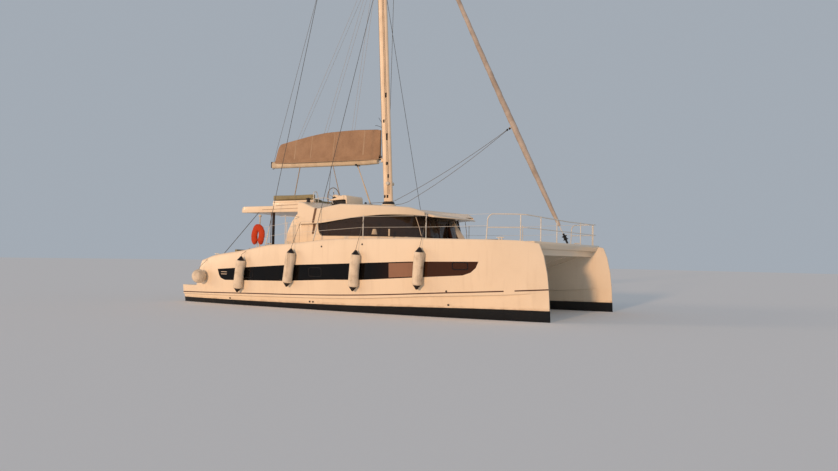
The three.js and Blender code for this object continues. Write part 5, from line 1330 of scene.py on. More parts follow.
x = np.linspace(-0.84, -5.48, 40)[:, None]
low, high, half = (table(BOOM_ROWS, x, column) for column in (1, 2, 3))
oz, oy = oval(1.0, 1.0, 3.2, 32)
boom_grid = np.stack([x + 0 * oz, half * oy, (low + high) / 2 + (high - low) / 2 * oz], -1)
boom_tube = soften(grid_mesh("boom_tube", boom_grid, around=True), 0.008)
PIN = np.array([-0.6838, 0.0, 4.85])
EAR_HALF, EAR_THICK = 0.030, 0.016
cheeks = [tube("pin", [PIN + (0, 0, -0.078), PIN + (0, 0, 0.078)], 0.012, 16)]
for ear_z in (4.904, 4.796 - EAR_THICK):
    cheeks += [block("ear", (-0.87, -EAR_HALF, ear_z), (PIN[0], EAR_HALF, ear_z + EAR_THICK), 0.003),
               turned("ear", [(0, 0), (EAR_HALF, 0), (EAR_HALF, EAR_THICK), (0, EAR_THICK)],
                      (PIN[0], 0, ear_z), sides=24)]
piece("boom_tube", boom_tube, boom_paint, body="boom_body", instead_of=("boom",))
piece("gooseneck", joined("gooseneck", cheeks), steel, body="boom_body")
cap = [block("cap", (-5.515, -0.098, 4.80), (-5.475, 0.098, 5.02), 0.012),
       tube("eye", [(-5.50, 0, 4.80), (-5.505, 0, 4.755), (-5.45, 0, 4.75), (-5.44, 0, 4.80)], 0.008, 8)]
piece("boom_end", joined("boom_end", cap), black_paint, body="boom_body")

# %% The sail bag
BAG_ROWS = [(-0.75, 5.04, 5.872, 0.045, 0.025), (-1.0, 5.035, 5.90, 0.110, 0.045),
            (-1.5, 5.03, 5.925, 0.165, 0.06), (-2.1, 5.03, 5.933, 0.175, 0.065),
            (-2.9, 5.035, 5.925, 0.175, 0.065), (-3.6, 5.035, 5.865, 0.170, 0.062),
            (-4.3, 5.04, 5.765, 0.160, 0.060), (-4.9, 5.045, 5.672, 0.135, 0.052),
            (-5.1, 5.045, 5.632, 0.120, 0.045), (-5.2, 5.048, 5.52, 0.100, 0.042),
            (-5.33, 5.05, 5.16, 0.07, 0.04)]
SKIRT = [(-5.33, 4.965), (-5.2, 4.935), (-2.7, 4.885), (-0.86, 4.862), (-0.75, 4.89)]
TAPES = (-1.36, -2.62, -3.62, -4.36)


def bag_surface(x, u, side):
    """The bag's skin. u runs from the foot, 0, to the zip, 1. Half width = foot + (top - foot) u,
    plus a belly sin(pi u) low down, less a pinch near each tape, plus small slanting creases."""
    low, high, foot, top = (table(BAG_ROWS, x, column) for column in (1, 2, 3, 4))
    pinch = sum(np.exp(-(((x - tape) / 0.10) ** 2)) for tape in TAPES)
    belly = 0.16 * foot * np.sin(np.pi * u) ** 0.8 * (1 - u) * (1 - 0.75 * pinch)
    crease = (0.0045 * np.sin(9.0 * x + 5.0 * u) * np.sin(3.1 * x - 7 * u + 1.0)
              + 0.0035 * np.sin(23 * x + 11 * u) * u * (1 - u) * 4)
    sag = -0.010 * np.sin(np.pi * np.clip((x + 0.8) / -0.9, 0, 1)) * u
    width = np.maximum(foot + (top - foot) * u**0.85 + belly + crease * np.sin(np.pi * np.clip(u, 0, 1)) ,
                       0.012)
    return np.stack([x + 0 * u, side * width, low + (high - low) * u + sag], -1)


x = np.linspace(-5.33, -0.75, 170)[:, None]
u = np.linspace(0, 1, 26)[None]
clear = table(BOOM_ROWS, x, 3) + 0.006
foot_half, skirt_z = np.maximum(table(BAG_ROWS, x, 3), clear + 0.006), fair(SKIRT, x)
corners = [(-foot_half, skirt_z), (-clear, skirt_z), (-clear, table(BOOM_ROWS, x, 2) + 0.008)]
under = np.concatenate([np.stack([x, y, z], -1) for y, z in corners + [(-y, z) for y, z in corners[::-1]]],
                       1)
bag_grid = np.concatenate([bag_surface(x, u, -1), bag_surface(x, u[:, ::-1], 1), under[:, ::-1]], 1)
bag = piece("zipped_sail_bag", grid_mesh("bag", bag_grid, around=True), sail_canvas, body="boom_body",
            instead_of=("sail_bag",))


def tape_on_bag(name, where, width, lift=0.003, finish=seam_tape, start=0.02, end=0.99):
    """A flat tape that lies on the bag at one place along it, up one side, over and down the other."""
    u = np.concatenate([np.linspace(start, end, 26), np.linspace(end, start, 26)])
    side = np.repeat([-1.0, 1.0], 26)
    rows = []
    for dx, out in ((-width / 2, 0.001), (-width / 2, lift), (width / 2, lift), (width / 2, 0.001)):
        skin = np.where(side[:, None] < 0, bag_surface(np.full(52, where + dx), u, -1),
                        bag_surface(np.full(52, where + dx), u, 1))
        skin[:, 1] += side * out
        skin[:, 2] += np.where(u > 0.97, out, 0.0)
        rows.append(skin)
    return piece(name, grid_mesh(name, np.stack(rows, 1), around=True), finish, body="boom_body")


for number, where in enumerate(TAPES):
    tape_on_bag(f"bag_tape_{number}", where, 0.05 if number in (0, 3) else 0.035)
zip_x = np.linspace(-5.2, -0.85, 80)
zip_path = np.stack([zip_x, 0 * zip_x,
                     table(BAG_ROWS, zip_x, 2) + 0.004 - 0.010
                     * np.sin(np.pi * np.clip((zip_x + 0.8) / -0.9, 0, 1))], -1)
piece("bag_zip", tube("zip", zip_path, 0.011, 8), dark_canvas, body="boom_body")
foot_half = np.maximum(table(BAG_ROWS, zip_x, 3), table(BOOM_ROWS, zip_x, 3) + 0.012)
foot_rope = [np.stack([zip_x, side * (foot_half + 0.002), fair(SKIRT, zip_x) + 0.012], -1)
             for side in (-1, 1)]
piece("bag_foot_rope", joined("foot", [tube("foot", path, 0.010, 8) for path in foot_rope]), seam_tape,
      body="boom_body")
print("sail bag with", len(TAPES), "tapes")

# %% [markdown]
# ## Windows of the saloon
# The panes are the frame's own solids with a finish of tinted glass. Around each real pane runs a
# black rubber seal, a thin tube laid along the opening's edge, and inside the cabin there are a few
# panels and a lamp. The panels are painted lighter and redder than the cabin wood: painted light,
# so that they show through the glass.

# %% Panes and seals
PANES = {name: cabin_glass for name in nodes if "glass" in name}


def house_side(x, z, sink=0.0):
    """Y of the deckhouse's starboard wall: the superellipse of the plan, solved for y."""
    length, beam = 3.53 - 0.29 * (np.maximum(z, 2.09) - 2.09), 2.90
    across = 1 - np.clip((x - ROOF_ROUND) / length, 0, 0.999) ** 2.75
    return -(beam - sink) * across ** (1 / 2.75)


edge = [(-1.03, 2.60), (-1.03, 2.45), (-1.005, 2.35), (-0.98, 2.30), (-0.94, 2.25),
        (-0.88, 2.22)] + [(x, 2.22) for x in np.linspace(-0.7, 1.45, 30)]
edge = np.array(edge)
seal_path = np.stack([edge[:, 0], house_side(edge[:, 0], edge[:, 1], 0.002), edge[:, 1]], -1)
both_sides("window_seal", tube("seal", seal_path, 0.009, 8), black_paint)
# The cabin panels use a lighter, redder copy of the cabin wood: painted light, so they show through the
# tinted glass.
CABIN = [((-0.96, -2.56, 2.20), (-0.08, -2.50, 2.64)), ((0.02, -2.40, 2.20), (0.34, -2.34, 2.52))]
both_sides("cabin_panels", joined("panels", [block("panel", *corners, 0.01) for corners in CABIN]),
           lit_cabin_panel)
lamp_shade = turned("shade", [(0.0, 0.0), (0.10, 0.0), (0.06, 0.16), (0.0, 0.165)], (0.72, -2.42, 2.27))
edge_strip = block("strip", (1.235, -2.46, 2.22), (1.285, -2.44, 2.43), 0.004)
piece("cabin_lamp", joined("lamp", [lamp_shade, edge_strip]), cabin_lining)
cheek = np.array([[(1.852, 0.78, 2.25), (1.925, 1.14, 2.25), (1.80, 1.17, 2.25)],
                  [(1.605, 0.66, 2.81), (1.660, 0.84, 2.81), (1.58, 0.86, 2.81)]])
cheek_mesh = soften(grid_mesh("cheek", cheek, around=True), 0.006)
# Both cheeks are one wedge: the port one in gelcoat, the starboard one in the dark post finish as painted
# shade.
piece("front_cheek_port", cheek_mesh, gelcoat)
piece("front_cheek_starboard_shaded", mirror_mesh(cheek_mesh, "cheek_starboard"), dark_post)
# A thin white tube down each front pillar is a painted highlight: the lit side of the pillar.
post_line = np.array([(1.665, -1.62, 2.83), (1.74, -1.56, 2.55), (1.80, -1.50, 2.26)])
both_sides("front_glass_bead", tube("bead", post_line, 0.010, 8), tape_white)
print("panes:", len(PANES), "cabin panels:", len(CABIN))

# %% [markdown]
# ## Rails and guard wires
# Polished steel tube is bent, never mitred, so every corner of the path is replaced by a short curve
# before the tube is carried along it. The legs stand in small turned bases, and thin wires join the
# stanchions.

# %% The bow rail
RAIL, RAIL_THIN = 0.0155, 0.012
HALF_RAIL = [(4.80, -3.23, 2.05), (4.835, -3.225, 2.68), (4.92, -3.205, 2.78), (5.50, -3.01, 2.78),
             (5.78, -2.86, 2.77), (5.905, -2.20, 2.74)]
HALF_MIDDLE = [(4.818, -3.227, 2.43), (5.50, -3.01, 2.43), (5.78, -2.86, 2.43), (5.905, -2.20, 2.42)]
POSTS = [(5.64, -2.935), (5.905, -2.20), (5.905, -1.00)]


def whole(half, middle=()):
    """A starboard path, a middle part and the starboard path mirrored and run back."""
    return np.array([*half, *middle, *[(x, -y, z) for x, y, z in half[::-1]]])


def base(x, y, z, radius=0.032):
    """A turned foot plate with a short collar."""
    profile = [(0, -0.012), (radius, -0.012), (radius, 0.002), (radius * 0.9, 0.006), (0.020, 0.009),
               (0.019, 0.03), (0, 0.031)]
    return turned("base", profile, (x, y, z), sides=20)


DECK_AT_BOW = 2.09
top_rail = tube("rail", rounded(whole(HALF_RAIL, [(5.905, 0, 2.72)]), 0.11, 8), RAIL, 12)
lower_rail = tube("rail", rounded(whole(HALF_MIDDLE), 0.06, 6), RAIL_THIN, 10)
parts = [top_rail, lower_rail]
for x, y in POSTS:
    for side in (1, -1):
        parts += [tube("post", line((x, side * y, DECK_AT_BOW - 0.02), (x, side * y, 2.755), 3), RAIL, 12),
                  base(x, side * y, DECK_AT_BOW)]
for side in (1, -1):
    parts.append(base(4.80, side * -3.23, 2.112))
piece("bow_rail_tubes", joined("bow_rail", parts), steel, instead_of=("bow_rail",))

# %% Side stanchions and wires
STANCHIONS = [(-3.10, 1.79), (-1.90, 1.94), (0.94, 2.11), (3.03, 2.11)]
STANCHION_Y, WIRE_HEIGHTS, WIRE_ENDS = -3.33, (0.33, 0.64), [(4.801, -3.226), (4.872, -3.218)]
side_parts, wires = [], []
for x, z in STANCHIONS:
    side_parts += [tube("post", line((x, STANCHION_Y, z - 0.03), (x, STANCHION_Y, z + 0.665), 3), 0.0125,
                        12), base(x, STANCHION_Y, z, 0.036),
                   ball("cap", (x, STANCHION_Y, z + 0.665), 0.016, 12)]
    side_parts += [turned("ferrule", [(0.0, -0.014), (0.017, -0.012), (0.017, 0.012), (0.0, 0.014)],
                          (x, STANCHION_Y, z + h), sides=14) for h in WIRE_HEIGHTS]
for height, end in zip(WIRE_HEIGHTS, WIRE_ENDS):
    marks = [(x, STANCHION_Y, z + height) for x, z in STANCHIONS] + [(*end, 2.112 + height + 0.03)]
    wires.append(tube("wire", np.concatenate([line(a, b, 5) for a, b in zip(marks[:-1], marks[1:])]),
                      0.0045, 6))
both_sides("stanchions", joined("stanchions", side_parts), steel, instead_of="side_rail")
both_sides("guard_wires", joined("wires", wires), steel)
print("stanchions on each side:", len(STANCHIONS))

# %% [markdown]
# ## Fenders, float and lifebuoy
# Fenders are blown vinyl: a long drum with a domed end and a ribbed dark cone for the line at each
# tip. A profile turned about an upright line gives the form, with a few rings moulded in. They hang
# on lines from the guard rail and lie against the topside.

# %% Fenders
FENDER_R = 0.145
HANGING = [(-3.44, -3.62, 1.54, 0.42), (-1.42, -1.59, 1.80, 0.66), (0.94, 0.83, 1.78, 0.62),
           (3.02, 2.91, 1.88, 0.74)]
SHAPE = [(0.0, 0.0), (0.024, 0.004), (0.034, 0.024), (0.074, 0.074), (0.110, 0.120), (0.134, 0.142),
         (0.143, 0.165), (0.145, 0.195)]


def fender_profile(length):
    """The foot's shape, straight sides with three shallow rings, and the foot's shape upside down."""
    sides = [(FENDER_R - 0.003 * math.exp(-((h - ring) / 0.012) ** 2), h)
             for ring in (0.29, length / 2, length - 0.29)
             for h in np.linspace(ring - 0.03, ring + 0.03, 7)]
    return np.array(SHAPE + sides + [(r, length - h) for r, h in SHAPE[::-1]])


for number, (top_x, foot_x, top_z, foot_z) in enumerate(HANGING, 1):
    foot_y, top_y = (float(topside(x, min(z, 1.7))) - FENDER_R + 0.012 for x,
                     z in ((foot_x, foot_z + 0.2), (top_x, top_z - 0.2)))
    a, b = np.array([foot_x, foot_y, foot_z]), np.array([top_x, top_y, top_z])
    length = float(np.linalg.norm(b - a))
    axis = (b - a) / length
    profile = fender_profile(length)
    body = turned(f"fender_{number}", profile, a, axis, 40)
    piece(f"fender_{number}_vinyl", body, vinyl, instead_of=(f"fender_{number}",))
    cones = []
    for end, way in ((a, 1), (b, -1)):
        cone = [(0.0, -0.001), (0.024, 0.0), (0.030, 0.004), (0.040, 0.024), (0.078, 0.074), (0.114, 0.120),
                (0.116, 0.126), (0.108, 0.130), (0.0, 0.131)]
        cones.append(turned("cone", cone, end, axis * way, 32))
    piece(f"fender_{number}_ends", joined("ends", cones), vinyl_end)
print("fenders:", len(HANGING))

# %% The ball fender and the lifebuoy
ball_box = [np.array(corner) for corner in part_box("ball_fender")]
centre, radius = (ball_box[0] + ball_box[1]) / 2 + (0.05, 0,
                                                    0), float((ball_box[1] - ball_box[0]).min() / 2)
a = np.linspace(-np.pi / 2, np.pi / 2, 33)
BALL_EYE = centre + (0, 0, radius)
round_profile = np.stack([radius * np.cos(a) * (1 - 0.012 * np.exp(-(a / 0.05) ** 2)), radius * np.sin(a)],
                         -1)
piece("ball_fender_vinyl", turned("ball", round_profile, centre, sides=48), vinyl,
      instead_of=("ball_fender",))
eye = [(0.0, radius - 0.03), (0.045, radius - 0.028), (0.050, radius - 0.008), (0.032, radius + 0.001),
       (0.0, radius + 0.001)]
piece("ball_fender_eye", turned("eye", eye, centre, sides=28), vinyl_end)

BUOY_CENTRE, BUOY_HALF, BUOY_TUBE = np.array([-3.01, -3.392, 2.195]), (0.152, 0.250), 0.116


def buoy_path(start, end, steps):
    """A horseshoe: an ellipse in the side view, left open at its foot."""
    a = np.linspace(start, end, steps)
    return BUOY_CENTRE + np.stack([BUOY_HALF[0] * np.cos(a), 0.012 * np.sin(3 * a),
                                   BUOY_HALF[1] * np.sin(a)], -1)


def puffed(name, path, radius, seams, depth, sides=24):
    """A stuffed tube: its radius closes in a half circle at the ends and is drawn in at the seams."""
    share = np.linspace(0, 1, len(path))
    end = np.minimum(share, 1 - share) * len(path) / 9
    size = radius * np.sqrt(np.clip(1 - (1 - np.clip(end, 0, 1)) ** 2, 0.0004, 1))
    size = size * (1 - depth * sum(np.exp(-(((share - seam) / 0.010) ** 2)) for seam in seams))
    return tube(name, path, size, sides, flat=0.52)


START, SWEEP = -0.38 * np.pi, 1.76 * np.pi
horseshoe = piece("lifebuoy_cover",
                  puffed("lifebuoy", buoy_path(START, START + SWEEP, 120), BUOY_TUBE,
                         (0.17, 0.34, 0.5, 0.66, 0.83), 0.10), buoy_cloth,
                  instead_of=("lifebuoy",))
holder = rounded([(-3.10, -3.335, 2.38), (-3.10, -3.345, 2.40), (-2.92, -3.345, 2.40),
                  (-2.92, -3.345, 1.96), (-3.10, -3.345, 1.96), (-3.10, -3.335, 1.98)], 0.03)
piece("lifebuoy_holder", tube("holder", holder, 0.007, 8), steel)
print("ball radius", round(radius, 3))

# %% [markdown]
# ## Running rigging
# Ropes hold the boom from above and below. The mainsheet, a reef line and a guy go down to the roof, a stiff
# strut holds the boom up near the mast, and thin lazy jacks run from the bag to the mast. They all
# end at something fixed to the boom, and stay where they are made.
# Short knots, eyes and blocks at the ends show that they are tied and not stuck on.

# %% Ropes between boom and boat
def slack(a, b, sag, steps=24):
    """A line from a to b that hangs 4 s (1 - s) times the sag below the straight one."""
    share = np.linspace(0, 1, steps)[:, None]
    return np.asarray(a) + (np.asarray(b)
                            - np.asarray(a)) * share - np.array([0, 0, 1.0]) * sag * 4 * share * (1 - share)


def swinging(name, fixed, moving, radius, finish, sag=0.0):
    """A line from a place on the boat to a place at the boom, sagging by 'sag'; it stays where it is made."""
    path = slack(fixed, moving, sag)
    made = piece(name, tube(name, path, radius, 10), finish, body=None)
    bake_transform(made)
    return made


def knot(at, size):
    """A stopper knot: a ball whose radius ripples as it goes round, like turns of rope."""
    a = np.linspace(-np.pi / 2, np.pi / 2, 15)
    return turned("knot", np.stack([size * np.cos(a) * (1 + 0.14 * np.cos(6 * a)), size * 1.3 * np.sin(a)],
                                   -1), at, (0.3, 0.2, 1.0), 18)


SHEET_LINES = [("mainsheet", (-4.30, -0.30, 3.16), (-4.20, 0.0, 4.84), 0.017, pale_rope, 0.0),
               ("reef_line", (-2.45, -0.62, 3.16), (-2.80, -0.02, 4.83), 0.007, grey_rope, 0.05),
               ("boom_guy", (-1.45, -1.18, 3.33), (-2.74, -0.02, 4.83), 0.014, pale_rope, 0.0)]
for name, low, high, radius, used, sag in SHEET_LINES:
    swinging(name, low, high, radius, used, sag)
strut = tube("strut", line((-1.10, 0.0, 3.36), (-1.68, 0.0, 4.72), 14),
             np.interp(np.linspace(0, 1, 14), [0, 0.5, 0.55, 1], [0.024, 0.024, 0.017, 0.017]), 14)
strut = piece("boom_strut", strut, boom_paint, body=None)
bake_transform(strut)
MAST_TOP_EYE = np.array([float(mast_x(17.9)) - 0.16, 0.0, 17.9])
swinging("topping_lift", tuple(MAST_TOP_EYE), (-5.46, 0.0, 5.03), 0.006, grey_rope)
JACK_EYE = np.array([float(mast_x(11.9)), 0.0, 11.9])
for side, name in ((-1, "starboard"), (1, "port")):
    for number, foot_x in enumerate((-1.9, -3.1, -4.3)):
        foot = (foot_x, side * 0.075, float(table(BAG_ROWS, foot_x, 2)) - 0.03)
        swinging(f"lazy_jack_{number}_{name}", (JACK_EYE[0] - 0.12, side * 0.09, JACK_EYE[2]), foot, 0.0035,
                 pale_rope)
on_boom = [knot((-4.20, 0.0, 4.80), 0.03), knot((-2.77, -0.02, 4.80), 0.028),
           block("strap", (-1.72, -0.115, 4.70), (-1.64, 0.115, 4.76), 0.012),
           tube("loop", [(-1.68, 0, 4.70), (-1.68, 0, 4.66)], 0.02, 12)]
piece("boom_blocks", joined("blocks", on_boom), black_paint, body="boom_body")
on_roof = [block("block", (-4.36, -0.36, 3.14), (-4.24, -0.24, 3.20), 0.02),
           block("block", (-1.16, -0.05, 3.322), (-1.04, 0.05, 3.39), 0.015),
           block("block", (-1.50, -1.22, 3.30), (-1.40, -1.14, 3.345), 0.012),
           turned("pad", [(0, 0), (0.045, 0), (0.045, 0.02), (0, 0.02)], (-2.45, -0.62, 3.14))]
piece("roof_blocks", joined("blocks", on_roof), black_paint)
print("lines to the boom:", len(SHEET_LINES) + 7)

# %% [markdown]
# The headsail's sheets hang from the clew, the free corner that sticks out of the roll, and lead aft
# to the roof. Each is a rope with a length of its own, which is worked out and printed. Its last part, over
# the roof to the lead, can't be seen in the photo and is a guess.

# %% Clew and sheets
CLEW = np.array([4.00, -0.02, 5.62])
clew_tab = tube("clew", rounded([stay(0.2292) + (0.0, 0, 0.05), (4.12, -0.03, 5.66), (3.98, -0.03, 5.60)],
                                0.05), np.linspace(0.075, 0.02, 8), 14)
piece("sail_clew", clew_tab, sail_roll_cloth)
piece("clew_knot", joined("knots",
                          [knot(CLEW + (-0.02, 0, -0.03), 0.034),
                           knot(CLEW + (-0.10, 0.0, -0.07), 0.028)]), black_paint)
SHEET_R = 0.007
for side, name in ((-1, "starboard"), (1, "port")):
    foot = (0.20, -0.55, 3.42) if side < 0 else (0.22, 0.25, 3.45)
    path = slack(CLEW + (-0.10, side * 0.012, -0.07), foot, 0.10, 60)
    path = np.concatenate([path, [path[-1] + (-0.35, side * 0.16, -0.055),
                                  path[-1] + (-0.9, side * 0.3, -0.075)]])
    path = rounded(path, 0.04, 3)
    length = float(np.linalg.norm(np.diff(path, axis=0), axis=1).sum())
    sheet = piece(f"jib_sheet_{name}", tube("sheet", path, SHEET_R, 8), grey_rope)
    print("sheet length", round(length, 2), "m")
leads = [turned("lead", [(0, 0), (0.04, 0), (0.042, 0.02), (0.028, 0.05), (0, 0.052)],
                (-0.72, side * 0.85, 3.325)) for side in (1, -1)]
piece("sheet_leads", joined("leads", leads), black_paint)

# %% Fender lines, halyards and poles
for number, (top_x, foot_x, top_z, foot_z) in enumerate(HANGING, 1):
    top_y = float(topside(top_x, min(top_z - 0.2, 1.7))) - FENDER_R + 0.012
    tie = np.array([top_x + 0.05, STANCHION_Y - 0.004,
                    float(fair(SHEER, top_x)) + 0.62 if number > 1 else 1.81])
    path = rounded([(top_x, top_y, top_z - 0.01), (top_x + 0.01, top_y, top_z + 0.06),
                    tie + (0, -0.012, -0.02), tie], 0.02)
    piece(f"fender_line_{number}", tube("lanyard", path, 0.006, 8), grey_rope)
ball_line = [BALL_EYE - (0, 0, 0.01), BALL_EYE + (0.01, 0, 0.06), (-5.17, -3.38, 1.44),
             (-5.13, -3.27, float(fair(SHEER, -5.13)) + 0.03)]
piece("ball_line", tube("lanyard", rounded(ball_line, 0.05), 0.006, 8), grey_rope)
halyards = [tube("halyard", line(on_mast(17.5, way, 0.03), on_mast(z, way, 0.03), 20), 0.005, 8) for way,
            z in ((60, 3.7), (74, 3.7), (-60, 3.7), (-74, 3.7))]
piece("halyards", joined("halyards", halyards), grey_rope)
steps = [tube("bracket", [on_mast(5.95, 150), on_mast(6.02, 165, 0.16), on_mast(6.05, 185, 0.30)], 0.007,
              8),
         tube("bracket", [on_mast(6.10, 150), on_mast(6.28, 150, 0.10)], 0.006, 8)]
piece("mast_bracket", joined("bracket", steps), black_paint)
pole = tube("pole", line((-3.02, -3.305, 1.83), (-3.02, -3.305, 2.80), 6), 0.019, 14)
piece("marker_pole", joined("pole", [pole, ball("float", (-3.02, -3.305, 2.815), 0.048, 20)]), vinyl)
both_sides("gate_pole", tube("gate", [(-1.96, -3.33, 1.95), (-1.965, -3.33, 2.83)], 0.012, 10), steel)
both_sides("gate_bar", tube("gate",
                            rounded([(-2.16, -3.33, 2.79), (-1.96, -3.33, 2.80), (-1.70, -3.20, 2.79),
                                     (-1.66, -2.90, 2.79)], 0.05), 0.010, 10), steel)
print("small lines done")

# %% [markdown]
# ## Deck fittings
# Flush hatches, cleats, moulded seams between lockers and small skin fittings are what the eye looks
# for on an otherwise plain deck. Each is a few turned or softened shapes set on the deck's own height.

# %% Cleats, hatches and skin fittings
def cleat(at, along=(1, 0, 0), half=0.11):
    """Two feet and a horn whose radius tapers to its tips."""
    at, along = np.asarray(at, float), np.asarray(along, float)
    horn = line(at + along * -half + (0, 0, 0.062), at + along * half + (0, 0, 0.062), 13)
    swell = 0.006 + 0.010 * np.sqrt(np.clip(1 - np.linspace(-1, 1, 13) ** 2, 0, 1))
    feet = [turned("foot", [(0, -0.004), (0.028, -0.004), (0.024, 0.012), (0.014, 0.03), (0.013, 0.06),
                            (0, 0.062)], at + along * d, sides=16) for d in (-0.04, 0.04)]
    return joined("cleat", [tube("horn", horn, swell, 12), *feet])


CLEATS = [(5.10, -3.00), (0.30, -3.26), (-1.86, -3.24), (-2.66, -3.26), (-4.95, -3.20)]
both_sides("cleats", joined("cleats", [cleat((x, y, float(fair(SHEER, x)))) for x, y in CLEATS]), steel)


def flush_hatch(x, y, z, half_x, half_y):
    """A frame with round corners and a smoked pane, standing 12 mm proud of the deck."""
    frame = soften(block("frame", (x - half_x, y - half_y, z - 0.004), (x + half_x, y + half_y, z + 0.010)),
                   0.006)
    pane = soften(block("pane", (x - half_x + 0.03, y - half_y + 0.03, z + 0.002),
                        (x + half_x - 0.03, y + half_y - 0.03, z + 0.014)), 0.004)
    return frame, pane


HATCHES = [(3.55, -2.60, 0.25, 0.25), (1.55, -3.12, 0.20, 0.10), (4.75, -2.62, 0.22, 0.22)]
frames, panes = zip(*[flush_hatch(x, y, float(fair(SHEER, x)), a, b) for x, y, a, b in HATCHES])
both_sides("deck_hatch_frames", joined("frames", frames), black_paint)
both_sides("deck_hatch_panes", joined("panes", panes), hull_glass)
OUTLETS = [(3.69, 0.345), (3.68, 0.715), (-0.40, 1.875), (1.05, 1.95), (-0.89, 0.235), (-0.77, 0.235),
           (-4.16, 0.20)]
outlets = [turned("outlet", [(0, -0.004), (0.026, -0.004), (0.027, 0.006), (0.016, 0.008), (0.012, 0.004),
                             (0, 0.004)],
                  (x, float(topside(x, z)), z), (0, -1, 0), 20) for x, z in OUTLETS]
both_sides("skin_fittings", joined("outlets", outlets), black_paint)
dashes = [soften(block("dash", (-4.49, 0, z - 0.010), (-4.22, 0.004, z + 0.010)), 0.003)
          for z in (1.035, 0.965)]
for dash in dashes:
    count = len(dash.vertices)
    place = np.empty(count * 3, np.float32)
    dash.vertices.foreach_get("co", place)
    place = place.reshape(-1, 3)
    place[:, 1] += topside(place[:, 0], place[:, 2]) + PANE_DEPTH - 0.003
    dash.vertices.foreach_set("co", place.ravel())
both_sides("glass_marks", joined("dashes", dashes), tape_white)


def seam(name, corners, radius=0.0035, closed=True):
    """A thin dark line laid on a flat deck round a locker lid."""
    path = rounded([*corners, corners[0]] if closed else corners, 0.03, 4)
    return tube(name, path, radius, 6)


LIDS = [[(2.10, -1.30, 1.581), (3.75, -1.30, 1.581), (3.75, -0.45, 1.581), (2.10, -0.45, 1.581)],
        [(3.95, -1.35, 1.881), (4.25, -1.35, 1.881), (4.25, -0.05, 1.881), (3.95, -0.05, 1.881)],
        [(4.55, -1.60, 2.091), (5.30, -1.60, 2.091), (5.30, -0.90, 2.091), (4.55, -0.90, 2.091)],
        [(4.60, -0.30, 2.091), (5.35, -0.30, 2.091), (5.35, 0.30, 2.091), (4.60, 0.30, 2.091)]]
lid_lines = [seam("lid", corners) for corners in LIDS]
piece("locker_lines", joined("lids", lid_lines + [mirror_mesh(each, "twin") for each in lid_lines[:3]]),
      groove_shadow)
print("cleats on each side:", len(CLEATS), "hatches:", len(HATCHES))

# %% [markdown]
# ## Cushions
# The seats are foam in a sewn cover: two panels joined by a side band, with piping along both seams.
# Each starts as a box with round edges, is remeshed into small even squares and then swells in a cloth
# simulation. The seams hold still while the fabric between them moves, by at most 16 mm.
# Remeshing would wipe out the thin piping, so that is laid along the seams afterwards.

# %% Cushion shapes
INSET, SOFT, CROWN, SWELL_CAP = 0.007, 0.024, 0.012, 0.016


def shaped(points, low, high, thin):
    """Crowns the two broad faces by (1 - u^4)(1 - v^4) and pulls the sides in by (1 - v^2) u^8 between the
    corners, where u and v run from -1 to 1 across the broad faces."""
    points, middle, half = points.copy(), (low + high) / 2, (high - low) / 2
    share = (points - middle) / half
    one, two = [axis for axis in range(3) if axis != thin]
    u, v, t = share[..., one], share[..., two], share[..., thin]
    points[..., thin] += CROWN * t * (1 - np.clip(u, -1, 1) ** 4) * (1 - np.clip(v, -1, 1) ** 4)
    points[..., one] -= 0.010 * np.sign(u) * np.abs(u) ** 8 * (1 - np.clip(v, -1, 1) ** 2)
    points[..., two] -= 0.010 * np.sign(v) * np.abs(v) ** 8 * (1 - np.clip(u, -1, 1) ** 2)
    return points


def seam_loops(low, high, thin):
    """The two closed seams: rectangles with round corners just inside the broad faces."""
    edge = INSET + 0.30 * SOFT
    one, two = [axis for axis in range(3) if axis != thin]
    (a, b), (c, d) = ((low[k] + edge, high[k] - edge) for k in (one, two))
    flat = rounded([((a + b) / 2, c), (b, c), (b, d), (a, d), (a, c), ((a + b) / 2, c)], SOFT, 5)
    steps = np.concatenate([line(p, q, max(2, int(np.linalg.norm(q - p) / 0.03) + 1))[:-1] for p,
                            q in zip(flat[:-1], flat[1:])] + [flat[-1:]])
    loops = []
    for level in (low[thin] + edge, high[thin] - edge):
        loop = np.empty((len(steps), 3))
        loop[:, one], loop[:, two], loop[:, thin] = steps[:, 0], steps[:, 1], level
        loops.append(shaped(loop, low, high, thin))
    return loops


def positions(mesh):
    """A mesh's points as an array."""
    flat = np.empty(len(mesh.vertices) * 3, np.float32)
    mesh.vertices.foreach_get("co", flat)
    return flat.reshape(-1, 3).astype(float)


def even_squares(mesh, voxel):
    """A mesh rebuilt from small even squares with a voxel remesh."""
    holder = bpy.data.objects.new("being remeshed", mesh)
    bpy.context.scene.collection.objects.link(holder)
    remesh = holder.modifiers.new("squares", "REMESH")
    remesh.mode, remesh.voxel_size = "VOXEL", voxel
    done = bpy.data.meshes.new_from_object(holder.evaluated_get(bpy.context.evaluated_depsgraph_get()))
    bpy.data.objects.remove(holder)
    return done


